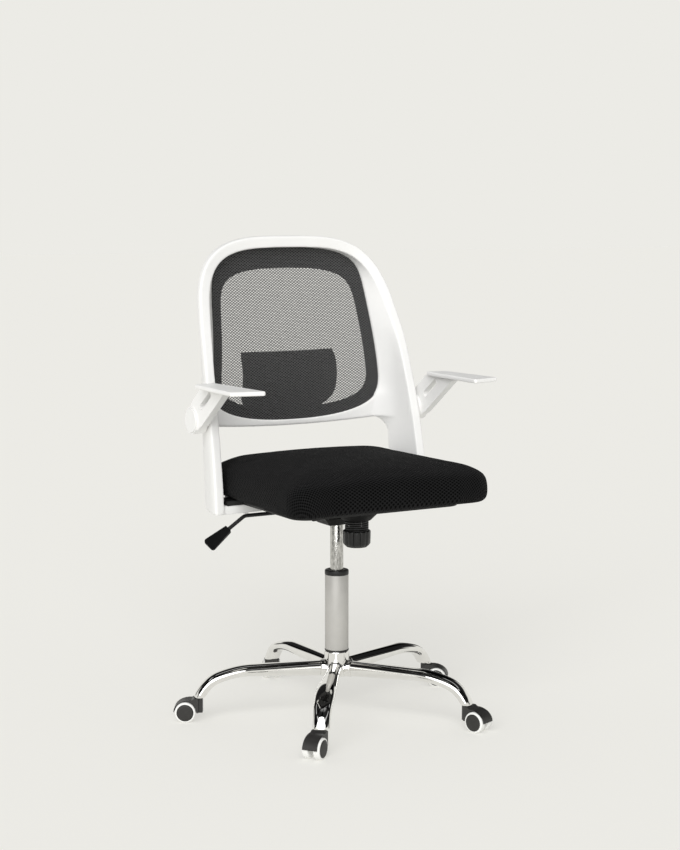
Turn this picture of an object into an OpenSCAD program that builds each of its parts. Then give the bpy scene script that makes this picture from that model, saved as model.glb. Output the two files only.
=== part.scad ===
/* [Base] */
// Distance from the column axis to each caster's stem
caster_circle_r = 295; // [280:1:315]
// Height of the hub's lower face above the floor
hub_base_z = 84; // [80:1:92]
// Height of the hub
hub_h = 54; // [48:1:64]
// Outer diameter of the hub
hub_d = 53; // [52:0.5:60]
// Diameter of the round collars that hold the legs
leg_collar_d = 36; // [30:1:40]
// Height of a leg where it leaves the hub
leg_root_h = 32; // [26:1:34]
// Width of a leg where it leaves the hub
leg_root_w = 29; // [24:1:32]
// Width of a leg at its shoulder
leg_shoulder_w = 42; // [34:1:46]
// Width of a leg at its tip
leg_tip_w = 35; // [28:1:38]
// Thickness of a leg at its tip
leg_tip_h = 22; // [19:0.5:26]

/* [Casters] */
// Diameter of a caster wheel
wheel_d = 44; // [42:0.5:49]
// Width of one caster wheel
wheel_w = 14.5; // [12:0.5:17]
// Distance from the stem axis to the wheel axle
caster_trail = 29.5; // [28:0.5:33]
// Thickness of the hood's web between the two wheels
hood_web_t = 9; // [7:0.5:12]
// Thickness of the hood's shell in front of the wheels
hood_shell_t = 1.6; // [1.2:0.2:3]
// Diameter of a caster's swivel stem
stem_d = 10; // [8:0.5:11]
// Diameter of a caster's axle
axle_d = 6; // [5:0.5:8]

/* [Gas lift] */
// Outer diameter of the column tube
column_d = 50; // [46:0.5:51]
// Length of column tube that shows above the hub
column_show_h = 174; // [150:1:220]
// Wall of the column tube
column_wall = 2; // [1.5:0.1:3]
// Outer diameter of the gas cylinder
cylinder_d = 28; // [25:0.5:30]
// Diameter of the piston rod
piston_rod_d = 10; // [8:0.5:12]
// Travel of the gas lift
lift_stroke = 90; // [80:1:110]

/* [Tilt mechanism] */
// Width of the mechanism housing
housing_w = 106; // [98:1:116]
// Height of the mechanism housing from its lowest face to the seat plate
housing_h = 44; // [42:1:54]
// Sheet thickness of the mechanism housing
housing_wall = 3; // [2:0.2:3.6]
// Distance from the column axis forward to the tension bolt
tension_forward = 83; // [78:1:88]
// Outer diameter of the tension spring
spring_d = 50; // [44:0.5:51]
// Wire diameter of the tension spring
spring_wire_d = 3.1; // [2.4:0.1:3.4]
// Turns of the tension spring
spring_turns = 10; // [7:1:11]
// Diameter of the tension knob
knob_d = 58; // [57:0.5:64]
// Height of the tension knob
knob_h = 35; // [31:1:40]
// Grips around the tension knob
knob_grips = 12; // [8:1:16]
// Thickness of the seat plate
plate_t = 4; // [3:0.2:6]

/* [Lever] */
// Diameter of the lever rod
lever_d = 8; // [6:0.5:9]
// Distance from the column axis back to the lever rod
lever_back = 36; // [34:0.5:38]
// Distance from the column axis out to the lever's bend
lever_reach = 200; // [180:1:215]
// Length of the lever's lower limb
lever_limb = 62; // [50:1:74]
// Angle of the lower limb below level
lever_drop = 33.5; // [25:0.5:42]
// Width of the paddle at its free end
paddle_w = 29; // [22:1:34]

/* [Seat] */
// Width of the cushion at its front
cushion_front_w = 484; // [470:1:500]
// Width of the cushion at its back
cushion_back_w = 442; // [420:1:446]
// Depth of the cushion
cushion_depth = 437; // [410:1:450]
// Height of the cushion at its sides
cushion_h = 81; // [65:1:95]
// How much higher the cushion is along its middle
cushion_crown = 10; // [3:1:16]
// Rounding of the cushion's front corners, seen from above
cushion_corner_r = 44; // [36:1:56]
// Thickness of the seat pan
pan_t = 10; // [8:0.5:14]

/* [Back] */
// Height of the back frame from its feet to its top rail
frame_h = 571; // [540:1:610]
// Width over the frame's legs
frame_w = 520; // [516:1:540]
// Width of the bright front edge of the frame's sides
edge_w = 20; // [16:0.5:23]
// How much further in the back's outer edge lies at the top than at the feet
back_taper = 16; // [8:1:22]
// How far the outer edge sweeps back from feet to top
back_sweep = 161; // [140:1:175]
// Width of the mesh opening at its base
mesh_base_w = 428; // [414:1:432]
// Width of the mesh opening at its top
mesh_top_w = 364; // [350:1:376]
// Height of the mesh opening
mesh_h = 374; // [352:1:388]
// Height of the rail above the mesh opening
top_rail_h = 25; // [20:1:34]
// Height of the rail below the mesh opening
low_rail_h = 13; // [11:1:20]
// Width of the inner ring behind the mesh, at the top
ring_top_w = 45; // [36:1:54]
// Width of the inner ring behind the mesh, at the sides
ring_side_w = 25; // [20:1:28]
// Width of the lumbar pad
lumbar_w = 232; // [200:1:260]
// Height of the lumbar pad
lumbar_h = 116; // [96:1:124]

/* [Armrests] */
// Height of the armrest pads above the seat pan
pad_rise = 247; // [238:1:262]
// Length of an armrest pad
pad_length = 206; // [185:1:225]
// Width of an armrest pad at its front
pad_front_w = 69; // [58:1:76]
// Width of an armrest pad at its back
pad_back_w = 49; // [42:1:58]
// Thickness of an armrest pad
pad_t = 9; // [7:0.5:12]
// Thickness of the armrest's diagonal arm
arm_t = 16; // [12:0.5:19]
// Diameter of the pivot barrel
barrel_d = 57; // [54:1:64]
// Diameter of the pivot pin
pivot_pin_d = 14; // [10:0.5:16]

/* [Hidden] */
$fn = 48;

// Radial play of a part that turns or slides in another
running_fit = 0.05;
// Gap between pieces that stay still
rest_gap = 0.3;
// Radial play of a bolt in its hole
bolt_play = 0.4;
// How far a cutting shape runs past what it cuts
overrun = 1;

// Finishes, named after what they colour
chrome = "silver";
dark = "#262626";
white = "#f2f2f0";
fabric = "#1c1c1c";
brass = "gold";

// Star base: leg angles seen from above, one leg pointing straight back
leg_count = 5;
leg_first_angle = -126;
leg_step_angle = 360 / leg_count;
hub_r = hub_d / 2;
hub_top_z = hub_base_z + hub_h;
collar_show = 11;
collar_sunk = 9.5;
collar_start_r = hub_r - collar_sunk;
leg_root_r = hub_r + collar_show;
leg_axis_z = hub_base_z + leg_root_h / 2;
leg_rise = 3.5;
leg_shoulder_h = 22;
leg_shoulder_share = 0.75;
leg_gentle_r = 200;
leg_gentle_angle = 20;
leg_sharp_r = 66;
leg_sharp_angle = 72;
leg_tip_above_wheel = 9;
leg_tip_z = wheel_d + leg_tip_above_wheel;
leg_sides = 14;
leg_round_share = 2.4;
stem_socket_h = 9;

// Casters: the direction in which each one trails
caster_heading_angles = [-145, -70, -38, 65, 150];
wheel_r = wheel_d / 2;
wheel_gap = 0.5;
wheel_inner = hood_web_t / 2 + wheel_gap;
wheel_outer = wheel_inner + wheel_w;
wheel_proud = 3.5;
tyre_edge = 2.5;
tyre_ring_w = 4.2;
disc_groove = 0.6;
disc_dome = 0.7;
axle_cover = 2;
hood_clearance = 1.2;
hood_pocket_r = wheel_r + hood_clearance;
hood_w = 2 * (wheel_outer - wheel_proud);
hood_rear = 6.5;
hood_block_d = 22;
hood_side_x = 2;
hood_below_leg = 2;
hood_top_z = leg_tip_z - hood_below_leg;
hood_skirt = 2;
hood_tip_x = caster_trail + hood_pocket_r + hood_shell_t;
hood_tip_cut = 6;
hood_tip_lift = 1;
hood_tip_z = wheel_r + hood_tip_lift;
hood_arch_back = 9.5;
hood_arch_x = caster_trail - hood_arch_back;
hood_arch_drop = 3;
hood_arch_top_z = hood_top_z - hood_arch_drop;
hood_block_x = 11;
stem_seat_h = 4;
stem_seat_z = wheel_r + stem_seat_h;

// Gas lift: heights from the hub up
column_top_z = hub_top_z + column_show_h;
column_neck = 2;
spigot_d = column_d - 2 * column_neck;
tube_bore_d = column_d - 2 * column_wall;
spigot_bore_d = spigot_d - 2 * column_wall;
column_floor_t = 6;
column_floor_lift = 4;
column_floor_z = hub_base_z + column_floor_lift;
bush_rim_h = 10;
bush_rim = 0.5;
bush_length = 60;
bearing_z = column_floor_z + column_floor_t;
bearing_h = 8;
bearing_w = 11;
clip_t = 2;
clip_w = 4.5;
rod_tail = 4;
piston_collar_h = 3;
piston_collar_w = 4;
lift_margin = 10;
housing_z = column_top_z + lift_stroke + lift_margin;
socket_depth = 24;
cylinder_top_z = housing_z + socket_depth;
cylinder_overlap = 105;
cylinder_bottom_z = column_top_z - cylinder_overlap;
cylinder_wall = 2;
cylinder_end_t = 5;
cylinder_head_t = 15;
piston_head_h = 8;
piston_gap = 12;
piston_top_z = cylinder_bottom_z + cylinder_end_t + piston_gap + piston_head_h;
button_d = 8;
button_show = 6.5;
button_hidden = 4;
button_travel = 5;

// Tilt mechanism: the housing's deep part takes the cylinder, its nose the tension bolt
plate_z = housing_z + housing_h;
pan_z = plate_z + plate_t;
tilt_pivot_drop = 20;
tilt_pivot_z = plate_z - tilt_pivot_drop;
tilt_pin_d = 10;
tilt_pin_inset = 8;
tilt_pin_tail = 3;
tilt_pin_head_t = 3;
tilt_pin_head_w = 2;
ear_t = 4;
ear_w = 32;
ear_gap = 1;
housing_front = 60;
housing_ramp_top = 47;
housing_ramp_foot = 26;
housing_back = 52;
housing_back_foot = 24;
housing_back_cut = 12;
housing_top_drop = 9;
housing_back_drop = 20;
housing_slope_start = 20;
housing_floor_half_w = 30;
housing_flare_h = 18;
spring_seat_drop = 24;
spring_seat_z = plate_z - spring_seat_drop;
nose_low_r = 30;
nose_high_r = 50;
nose_drop = 4;
knob_drop = 22;
knob_top_z = spring_seat_z - knob_drop;
knob_z = knob_top_z - knob_h;
knob_r = knob_d / 2;
knob_floor_t = 7;
knob_bore_play = 0.7;
knob_foot_h = 6;
knob_foot_in = 5.5;
knob_grip_depth = 1.5;
knob_grip_d = 9;
knob_grip_z = 4;
tension_bolt_d = 10;
tension_bolt_start = 3;
tension_head_h = 6;
tension_head_w = 4;
tension_hole_d = 17;
socket_boss_d = 42;
bolt_head_h = 4;
bolt_head_w = 3;
bolt_short = 2;

// Lever
lever_drop_z = 17;
lever_z = plate_z - lever_drop_z;
lever_inner_x = 16;
bush_d = 12;
bush_boss_t = 6;
bush_boss_top = 6.8;
bush_x = -(housing_w / 2 - housing_wall / 2);
tongue_t = 3;
tongue_w = 14;
tongue_past = 20;
paddle_l = 56;
paddle_t = 8;
paddle_neck_w = 15;
paddle_neck_l = 4;
paddle_neck_t = 12;
paddle_tip_t = 6;
paddle_tip_lift = 1;
paddle_tip_r = 6;
paddle_socket = 17;
paddle_roll_angle = 48;

// Seat
frame_half_w = frame_w / 2;
leg_back_set = 35;
leg_back_half_w = frame_half_w - leg_back_set;
cushion_front_y = -247;
cushion_edge = 40;
cushion_back_corner_r = 60;
cushion_least_r = 8;
corner_shrink_share = 0.6;
pan_side_set = 65;
pan_half_w = frame_half_w - pan_side_set;
pan_front_y = -188;
pan_back_y = 165;
pan_corner_r = 35;
pan_ear_front_y = 50;
pan_ear_back_y = 100;
pan_ear_set = 28;
pan_ear_half_w = frame_half_w - pan_ear_set;
pan_pocket_d = 26;
pan_skin_t = 1;
cushion_z = pan_z + pan_t + rest_gap;
plate_half_w = 85;
plate_front_y = -105;
plate_back_y = 85;
plate_bolt_d = 6;
plate_bolt_edge_x = 10;
plate_bolt_edge_y = 12;

// Back frame: heights, half widths and depths, from the feet up
foot_t = 18;
foot_front_set = 4;
foot_side_set = 8;
foot_back_set = 4;
foot_w = 110;
foot_inner_x = frame_half_w - foot_w;
foot_back_y = 140;
foot_hole_y = [70, 120];
foot_hole_set = 80;
foot_hole_x = frame_half_w - foot_hole_set;
frame_bolt_d = 7;
frame_foot_z = pan_z - foot_t;
frame_top_z = frame_foot_z + frame_h;
frame_front_y = 47;
frame_depth = 16;
frame_slim = 3;
frame_rear_round = 14;
frame_rear_round_top = 6;
edge_bevel = 1;
edge_bevel_w = 3;
edge_side_back = 4;
edge_side_w = 14;
edge_side_in = 0.5;
side_bulge_out = 4;
side_bulge_back = 8;
leg_back_y = 161;
leg_back_lean = 12;
leg_back_t = 10;
leg_back_step = 2;
leg_fillet_r = 35;
rib_front_y = 68;
rib_step = 18;
rib_count = 4;
rib_t = 2.4;
rib_end_t = 0.5;
rib_inner_set = 14;
rib_outer_set = 2;
rib_low = 2;

// Mesh opening: where it lies, how it bows, and the powers of its rounded top and base
mesh_top_z = frame_top_z - top_rail_h;
mesh_base_z = mesh_top_z - mesh_h;
round_start_share = 0.318;
round_start_z = mesh_base_z + round_start_share * mesh_h;
outer_round_share = 3.5;
top_up_share = 10.9;
top_across_share = 2.57;
base_up_share = 3.9;
base_across_share = 2.24;
mesh_lumbar_y = 167;
mesh_lean = 50;
mesh_base_bow = 18;
mesh_top_bow = 10;
mesh_tuck = 4;
mesh_t = 1.2;
mesh_columns = 14;
lip_t = 3;
lip_trim = 2;
low_rail_z = mesh_base_z - low_rail_h;
low_rail_bow = 10;
low_rail_round = 4;
low_rail_edge = 3;
fillet_top_z = low_rail_z + low_rail_bow;
fillet_inner_x = leg_back_half_w - leg_fillet_r;
ring_t = 6;
ring_front = lip_t + 3 * rest_gap + mesh_t;

// Lumbar pad
lumbar_lift = 32;
lumbar_z = mesh_base_z + lumbar_lift;
lumbar_t = 8;
lumbar_steps = 10;
lumbar_set = 23;
lumbar_curl = 20;
lumbar_side_curl = 8;
tab_half_w = 60;
tab_top_gap = 12;
tab_h = 9;

// Armrests
arm_pivot_y = 113;
arm_pivot_rise = 175;
arm_pivot_z = pan_z + arm_pivot_rise;
arm_slope_angle = 36;
arm_root_set = 1;
arm_root_half = barrel_d / 2 - arm_root_set;
arm_half_w = 32;
arm_widen = 32;
arm_blend_r = 60;
arm_slot_start = 54;
arm_slot_end = 102;
arm_slot_w = 13;
boss_depth = 26;
boss_base_depth = 16;
boss_base_set = 4;
boss_face_set = 10;
boss_face_in = 2;
boss_face_x = frame_half_w - boss_face_in;
pin_depth = 24;
arm_gap = 7;
arm_inner_x = boss_face_x + arm_gap;
arm_outer_x = arm_inner_x + arm_t;
barrel_proud = 3;
barrel_outer_x = arm_outer_x + barrel_proud;
cap_rim = 2.5;
cap_d = barrel_d - 2 * cap_rim;
cap_t = 4;
cap_recess = 2;
pin_head_d = 24;
pin_head_t = 4;
pad_above_rise = 10;
pad_top_z = pan_z + pad_rise + pad_above_rise;
pad_z = pad_top_z - pad_t;
pad_back_end_y = 54;
pad_back_skew = 6;
pad_front_skew = 16;
pad_back_in = 8;
pad_front_in = 19;
pad_inner_back_x = arm_inner_x - pad_back_in;
pad_inner_front_x = arm_inner_x - pad_front_in;
pad_corner_r = 5;
pad_edge = 2;
pad_edge_in = 1.5;

// A point of a rounded outline whose half width and half height are both 1, at an angle from the side
function squared(angle, power) = [
    sign(cos(angle)) * pow(abs(cos(angle)), 2 / power),
    sign(sin(angle)) * pow(abs(sin(angle)), 2 / power)
];

// Half width of a rounded outline at a height share, with its own power upward and across
function rounding(up, up_power, across_power) =
    pow(max(0, 1 - pow(up, up_power)), 1 / across_power);

function held(x, low, high) = max(low, min(high, x));

// Faces between rings of points, an even number in each, closed at both ends of the row of rings;
// seen in the direction of the row, each ring runs counter-clockwise
function loft_faces(rings, sides) = concat(
    [for (r = [0:rings - 2]) for (s = [0:sides - 1]) let (t = (s + 1) % sides)
        [r * sides + s, r * sides + t, (r + 1) * sides + s]],
    [for (r = [0:rings - 2]) for (s = [0:sides - 1]) let (t = (s + 1) % sides)
        [r * sides + t, (r + 1) * sides + t, (r + 1) * sides + s]],
    [for (s = [0:sides / 2 - 2]) [s, sides - 1 - s, s + 1]],
    [for (s = [0:sides / 2 - 2]) [s + 1, sides - 1 - s, sides - 2 - s]],
    let (f = (rings - 1) * sides)
        [for (s = [0:sides / 2 - 2]) [f + s, f + s + 1, f + sides - 1 - s]],
    let (f = (rings - 1) * sides)
        [for (s = [0:sides / 2 - 2]) [f + s + 1, f + sides - 2 - s, f + sides - 1 - s]]
);

module loft(rings) {
    polyhedron(
        points = [for (ring = rings) for (p = ring) p],
        faces = loft_faces(len(rings), len(rings[0])),
        convexity = 6
    );
}

// Closed ring of sections, each joined to the next and the last to the first
module ring_loft(rings) {
    count = len(rings);
    sides = len(rings[0]);
    polyhedron(
        points = [for (ring = rings) for (p = ring) p],
        faces = [for (r = [0:count - 1]) for (s = [0:sides - 1]) for (half = [0, 1])
            let (q = (r + 1) % count, t = (s + 1) % sides)
                half == 0
                    ? [r * sides + s, r * sides + t, q * sides + s]
                    : [r * sides + t, q * sides + t, q * sides + s]],
        convexity = 6
    );
}

module at_leg(i) {
    rotate([0, 0, leg_first_angle + i * leg_step_angle]) children();
}

module at_caster(i) {
    at_leg(i)
        translate([caster_circle_r, 0, 0])
            rotate([0, 0, caster_heading_angles[i] - leg_first_angle - i * leg_step_angle]) children();
}

// Cylinder along X from x1 to x2
module along_x(x1, x2, d, y, z) {
    translate([min(x1, x2), y, z]) rotate([0, 90, 0]) cylinder(h = abs(x2 - x1), d = d);
}

module base_hub() {
    color(chrome)
        difference() {
            union() {
                translate([0, 0, hub_base_z]) cylinder(h = hub_h, r = hub_r);
                for (i = [0:leg_count - 1])
                    at_leg(i) along_x(collar_start_r, leg_root_r, leg_collar_d, 0, leg_axis_z);
            }
            translate([0, 0, hub_base_z - overrun])
                cylinder(h = hub_h + 2 * overrun, d = spigot_d + 2 * running_fit);
        }
}

// Centre line of a leg: straight out, then a gentle and a sharp arc down; each entry is [out, height, slope]
leg_straight_r = caster_circle_r - leg_gentle_r * sin(leg_gentle_angle)
    - leg_sharp_r * (sin(leg_sharp_angle) - sin(leg_gentle_angle));
leg_gentle_z = leg_axis_z + leg_rise;
leg_sharp_z = leg_gentle_z - leg_gentle_r * (1 - cos(leg_gentle_angle));
leg_start_shares = [0, 0.25, 0.5, 0.75];
leg_gentle_angles = [0, 7, 14];
leg_sharp_angles = [20, 29, 38, 47, 56];
function gentle_point(a) = [
    leg_straight_r + leg_gentle_r * sin(a),
    leg_gentle_z - leg_gentle_r * (1 - cos(a)),
    a
];
function sharp_point(a) = [
    leg_straight_r + leg_gentle_r * sin(leg_gentle_angle) + leg_sharp_r * (sin(a) - sin(leg_gentle_angle)),
    leg_sharp_z - leg_sharp_r * (cos(leg_gentle_angle) - cos(a)),
    a
];
leg_line = concat(
    [for (t = leg_start_shares)
        [leg_root_r + t * (leg_straight_r - leg_root_r), leg_axis_z + t * leg_rise, 0]],
    [for (a = leg_gentle_angles) gentle_point(a)],
    [for (a = leg_sharp_angles) sharp_point(a)],
    [[caster_circle_r, leg_tip_z, 90]]
);
function leg_share(r) = (r - leg_root_r) / (caster_circle_r - leg_root_r);
function leg_tip_share(t) = (t - leg_shoulder_share) / (1 - leg_shoulder_share);
function leg_w(t) = t < leg_shoulder_share
    ? leg_root_w + (leg_shoulder_w - leg_root_w) * pow(sin(90 * t / leg_shoulder_share), 2)
    : leg_shoulder_w + (leg_tip_w - leg_shoulder_w) * leg_tip_share(t);
function leg_h(t) = t < leg_shoulder_share
    ? leg_root_h + (leg_shoulder_h - leg_root_h) * t / leg_shoulder_share
    : leg_shoulder_h + (leg_tip_h - leg_shoulder_h) * leg_tip_share(t);
function leg_ring(p) = let (t = leg_share(p[0]))
    [for (s = [0:leg_sides - 1]) let (q = squared(360 * s / leg_sides, leg_round_share))
        [
            p[0] + q[1] * leg_h(t) / 2 * sin(p[2]),
            -q[0] * leg_w(t) / 2,
            p[1] + q[1] * leg_h(t) / 2 * cos(p[2])
        ]];

module base_legs() {
    color(chrome)
        for (i = [0:leg_count - 1])
            at_leg(i)
                difference() {
                    loft([for (p = leg_line) leg_ring(p)]);
                    translate([caster_circle_r, 0, leg_tip_z - overrun])
                        cylinder(h = stem_socket_h + overrun, d = stem_d + 2 * running_fit);
                }
}

module column_tube() {
    color(chrome)
        difference() {
            union() {
                translate([0, 0, column_floor_z])
                    cylinder(h = hub_top_z - column_floor_z, d = spigot_d);
                translate([0, 0, hub_top_z])
                    cylinder(h = column_show_h - bush_rim_h, d = column_d);
            }
            translate([0, 0, column_floor_z + column_floor_t]) cylinder(h = hub_h, d = spigot_bore_d);
            translate([0, 0, hub_top_z + column_wall]) cylinder(h = column_show_h, d = tube_bore_d);
            translate([0, 0, column_floor_z - overrun])
                cylinder(h = column_floor_t + 2 * overrun, d = piston_rod_d + 2 * running_fit);
        }
}

module column_bush() {
    color(dark)
        difference() {
            union() {
                translate([0, 0, column_top_z - bush_rim_h])
                    cylinder(h = bush_rim_h, d = column_d + 2 * bush_rim);
                translate([0, 0, column_top_z - bush_length])
                    cylinder(h = bush_length, d = tube_bore_d - 2 * running_fit);
            }
            translate([0, 0, column_top_z - bush_length - overrun])
                cylinder(h = bush_length + 2 * overrun, d = cylinder_d + 2 * running_fit);
        }
}

module thrust_bearing() {
    color(chrome)
        translate([0, 0, bearing_z])
            rotate_extrude()
                translate([piston_rod_d / 2 + 2 * running_fit, 0])
                    difference() {
                        square([bearing_w, bearing_h]);
                        translate([bearing_w, bearing_h / 2]) circle(d = bearing_h / 2);
                    }
}

module retaining_clip() {
    color(chrome)
        translate([0, 0, column_floor_z - clip_t - rest_gap])
            difference() {
                cylinder(h = clip_t, d = piston_rod_d + 2 * clip_w);
                translate([0, 0, -overrun])
                    cylinder(h = clip_t + 2 * overrun, d = piston_rod_d + 2 * running_fit);
            }
}

module piston_rod() {
    color(chrome) {
        translate([0, 0, column_floor_z - rod_tail])
            cylinder(h = piston_top_z - column_floor_z + rod_tail, d = piston_rod_d);
        translate([0, 0, bearing_z + bearing_h])
            cylinder(h = piston_collar_h, d = piston_rod_d + 2 * piston_collar_w);
        translate([0, 0, piston_top_z - piston_head_h])
            cylinder(h = piston_head_h, d = cylinder_d - 2 * cylinder_wall - 2 * running_fit);
    }
}

module gas_cylinder() {
    color(chrome)
        difference() {
            translate([0, 0, cylinder_bottom_z])
                cylinder(h = cylinder_top_z - cylinder_bottom_z, d = cylinder_d);
            translate([0, 0, cylinder_bottom_z + cylinder_end_t])
                cylinder(
                    h = cylinder_top_z - cylinder_bottom_z - cylinder_end_t - cylinder_head_t,
                    d = cylinder_d - 2 * cylinder_wall
                );
            translate([0, 0, cylinder_bottom_z - overrun])
                cylinder(h = cylinder_end_t + 2 * overrun, d = piston_rod_d + 2 * running_fit);
            translate([0, 0, cylinder_top_z - button_hidden - button_travel])
                cylinder(
                    h = button_hidden + button_travel + overrun,
                    d = button_d + 2 * running_fit
                );
        }
}

module release_button() {
    color(brass)
        translate([0, 0, cylinder_top_z - button_hidden])
            cylinder(h = button_hidden + button_show, d = button_d);
}

// Side outline of the housing's deep part, as [back, up], drawn in by the sheet's thickness
function housing_side(inset) = [
    [-housing_front, spring_seat_z + inset],
    [-housing_ramp_top + inset, spring_seat_z + inset],
    [-housing_ramp_foot + inset, housing_z + inset],
    [housing_back_foot - inset, housing_z + inset],
    [housing_back - inset, housing_z + housing_back_cut + inset],
    [housing_back - inset, plate_z - housing_back_drop + 4 * inset],
    [housing_slope_start, plate_z - housing_top_drop + 4 * inset],
    [-housing_front, plate_z - housing_top_drop + 4 * inset]
];

// Front outline of the deep part, as [across, up]: the side walls lean in below
function housing_across(inset) = [
    [-housing_floor_half_w + inset, housing_z - overrun + inset],
    [housing_floor_half_w - inset, housing_z - overrun + inset],
    [housing_w / 2 - inset, housing_z + housing_flare_h + inset / 2],
    [housing_w / 2 - inset, plate_z + 4 * inset],
    [-housing_w / 2 + inset, plate_z + 4 * inset],
    [-housing_w / 2 + inset, housing_z + housing_flare_h + inset / 2]
];

// Deep part and nose together; the nose is a cup that widens upward round the tension bolt
module housing_block(inset) {
    intersection() {
        translate([-housing_w, 0, 0])
            rotate([90, 0, 90]) linear_extrude(2 * housing_w) polygon(housing_side(inset));
        translate([0, 2 * housing_front, 0])
            rotate([90, 0, 0]) linear_extrude(4 * housing_front) polygon(housing_across(inset));
    }
    translate([0, -tension_forward, spring_seat_z + inset])
        cylinder(
            h = spring_seat_drop - nose_drop,
            r1 = nose_low_r - inset,
            r2 = nose_high_r - inset
        );
}

// Ball of the lever's bush, with a bore along X
module ball_along_x(d, bore) {
    translate([bush_x, lever_back, lever_z])
        rotate([0, 90, 0])
            rotate_extrude()
                intersection() {
                    circle(d = d);
                    translate([bore / 2, -d]) square([d, 2 * d]);
                }
}

module tilt_housing() {
    color(dark)
        difference() {
            union() {
                difference() {
                    housing_block(0);
                    housing_block(housing_wall);
                }
                translate([0, 0, housing_z]) cylinder(h = socket_depth - rest_gap, d = socket_boss_d);
                translate([bush_x - bush_boss_t / 2, lever_back - bush_d, lever_z - bush_d])
                    cube([bush_boss_t, 2 * bush_d, bush_d + bush_boss_top]);
            }
            translate([0, 0, housing_z - 2 * overrun])
                cylinder(h = socket_depth + 4 * overrun, d = cylinder_d + 2 * running_fit);
            translate([0, -tension_forward, spring_seat_z - overrun])
                cylinder(h = housing_h, d = tension_hole_d);
            along_x(-housing_w, housing_w, tilt_pin_d + 2 * running_fit, 0, tilt_pivot_z);
            ball_along_x(bush_d + 2 * running_fit, 0);
        }
}

module tilt_pins() {
    tail_x = housing_w / 2 + ear_t + tilt_pin_tail;
    color(chrome)
        for (side = [-1, 1]) {
            along_x(side * (housing_w / 2 - tilt_pin_inset), side * tail_x, tilt_pin_d, 0, tilt_pivot_z);
            along_x(
                side * tail_x, side * (tail_x + tilt_pin_head_t),
                tilt_pin_d + 2 * tilt_pin_head_w, 0, tilt_pivot_z
            );
        }
}

function plate_bolt_places() = [
    for (side = [-1, 1]) for (y = [plate_front_y + plate_bolt_edge_y, plate_back_y - plate_bolt_edge_y])
        [side * (plate_half_w - plate_bolt_edge_x), y]
];

module seat_plate() {
    ear_x = housing_w / 2 + ear_gap;
    color(dark)
        difference() {
            union() {
                translate([-plate_half_w, plate_front_y, plate_z])
                    cube([2 * plate_half_w, plate_back_y - plate_front_y, plate_t]);
                for (side = [-1, 1]) {
                    translate([side * (ear_x + ear_t / 2) - ear_t / 2, -ear_w / 2, tilt_pivot_z])
                        cube([ear_t, ear_w, plate_z - tilt_pivot_z]);
                    along_x(side * ear_x, side * (ear_x + ear_t), ear_w, 0, tilt_pivot_z);
                }
            }
            along_x(-housing_w, housing_w, tilt_pin_d + 2 * running_fit, 0, tilt_pivot_z);
            translate([0, -tension_forward, plate_z - overrun])
                cylinder(h = plate_t + 2 * overrun, d = tension_bolt_d + 2 * running_fit);
            for (p = plate_bolt_places())
                translate([p[0], p[1], plate_z - overrun])
                    cylinder(h = plate_t + 2 * overrun, d = plate_bolt_d + 2 * bolt_play);
        }
}

// Bolt that stands upright, its head below z
module bolt_up(p, z, length, d) {
    translate([p[0], p[1], z]) {
        cylinder(h = length, d = d);
        translate([0, 0, -bolt_head_h]) cylinder(h = bolt_head_h, d = d + 2 * bolt_head_w);
    }
}

module plate_bolts() {
    color(chrome)
        for (p = plate_bolt_places()) bolt_up(p, plate_z, plate_t + pan_t - bolt_short, plate_bolt_d);
}

module tension_bolt() {
    color(dark)
        translate([0, -tension_forward, 0]) {
            translate([0, 0, knob_z + tension_bolt_start])
                cylinder(h = pan_z - knob_z - tension_bolt_start, d = tension_bolt_d);
            translate([0, 0, pan_z])
                cylinder(h = tension_head_h, d = tension_bolt_d + 2 * tension_head_w);
        }
}

// Tension spring: an open coil whose ends lie under the housing and on the knob's floor
spring_z = knob_z + knob_floor_t + rest_gap;
spring_rings = 8;
spring_sides = 6;
spring_coil_r = (spring_d - spring_wire_d) / 2;
spring_low_z = spring_z + spring_wire_d / 2;
spring_high_z = spring_seat_z - rest_gap - spring_wire_d / 2;
spring_pitch = (spring_high_z - spring_low_z) / spring_turns;
function spring_point(t) = [
    spring_coil_r * cos(360 * t),
    -tension_forward + spring_coil_r * sin(360 * t),
    spring_low_z + spring_pitch * t
];
function spring_ring(t) = [
    for (s = [0:spring_sides - 1]) let (a = 360 * s / spring_sides, r = spring_wire_d / 2)
        spring_point(t) + r * [cos(a) * cos(360 * t), cos(a) * sin(360 * t), sin(a)]
];
spring_gap = min([for (t = [0:1 / spring_rings:1]) norm(spring_point(t + 1) - spring_point(t))])
    - spring_wire_d;
echo(spring_least_gap = spring_gap);

module tension_spring() {
    color(dark)
        loft([for (t = [0:1 / spring_rings:spring_turns]) spring_ring(t)]);
}

module tension_knob() {
    body_r = knob_r - knob_grip_depth;
    color(dark)
        translate([0, -tension_forward, knob_z])
            difference() {
                union() {
                    cylinder(h = knob_foot_h, r1 = body_r - knob_foot_in, r2 = body_r);
                    translate([0, 0, knob_foot_h]) cylinder(h = knob_h - knob_foot_h, r = body_r);
                    for (g = [0:knob_grips - 1])
                        rotate([0, 0, g * 360 / knob_grips])
                            translate([knob_r - knob_grip_d / 2, 0, knob_grip_z])
                                cylinder(h = knob_h - knob_grip_z, d = knob_grip_d, $fn = 24);
                }
                translate([0, 0, knob_floor_t])
                    cylinder(h = knob_h, d = spring_d + 2 * knob_bore_play);
                translate([0, 0, tension_bolt_start])
                    cylinder(h = knob_h, d = tension_bolt_d + 2 * running_fit);
            }
}

module lever_bush() {
    color(dark) ball_along_x(bush_d, lever_d + 2 * running_fit);
}

module at_lever_bend() {
    translate([-lever_reach, lever_back, lever_z]) rotate([0, -90 - lever_drop, 0]) children();
}

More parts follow.
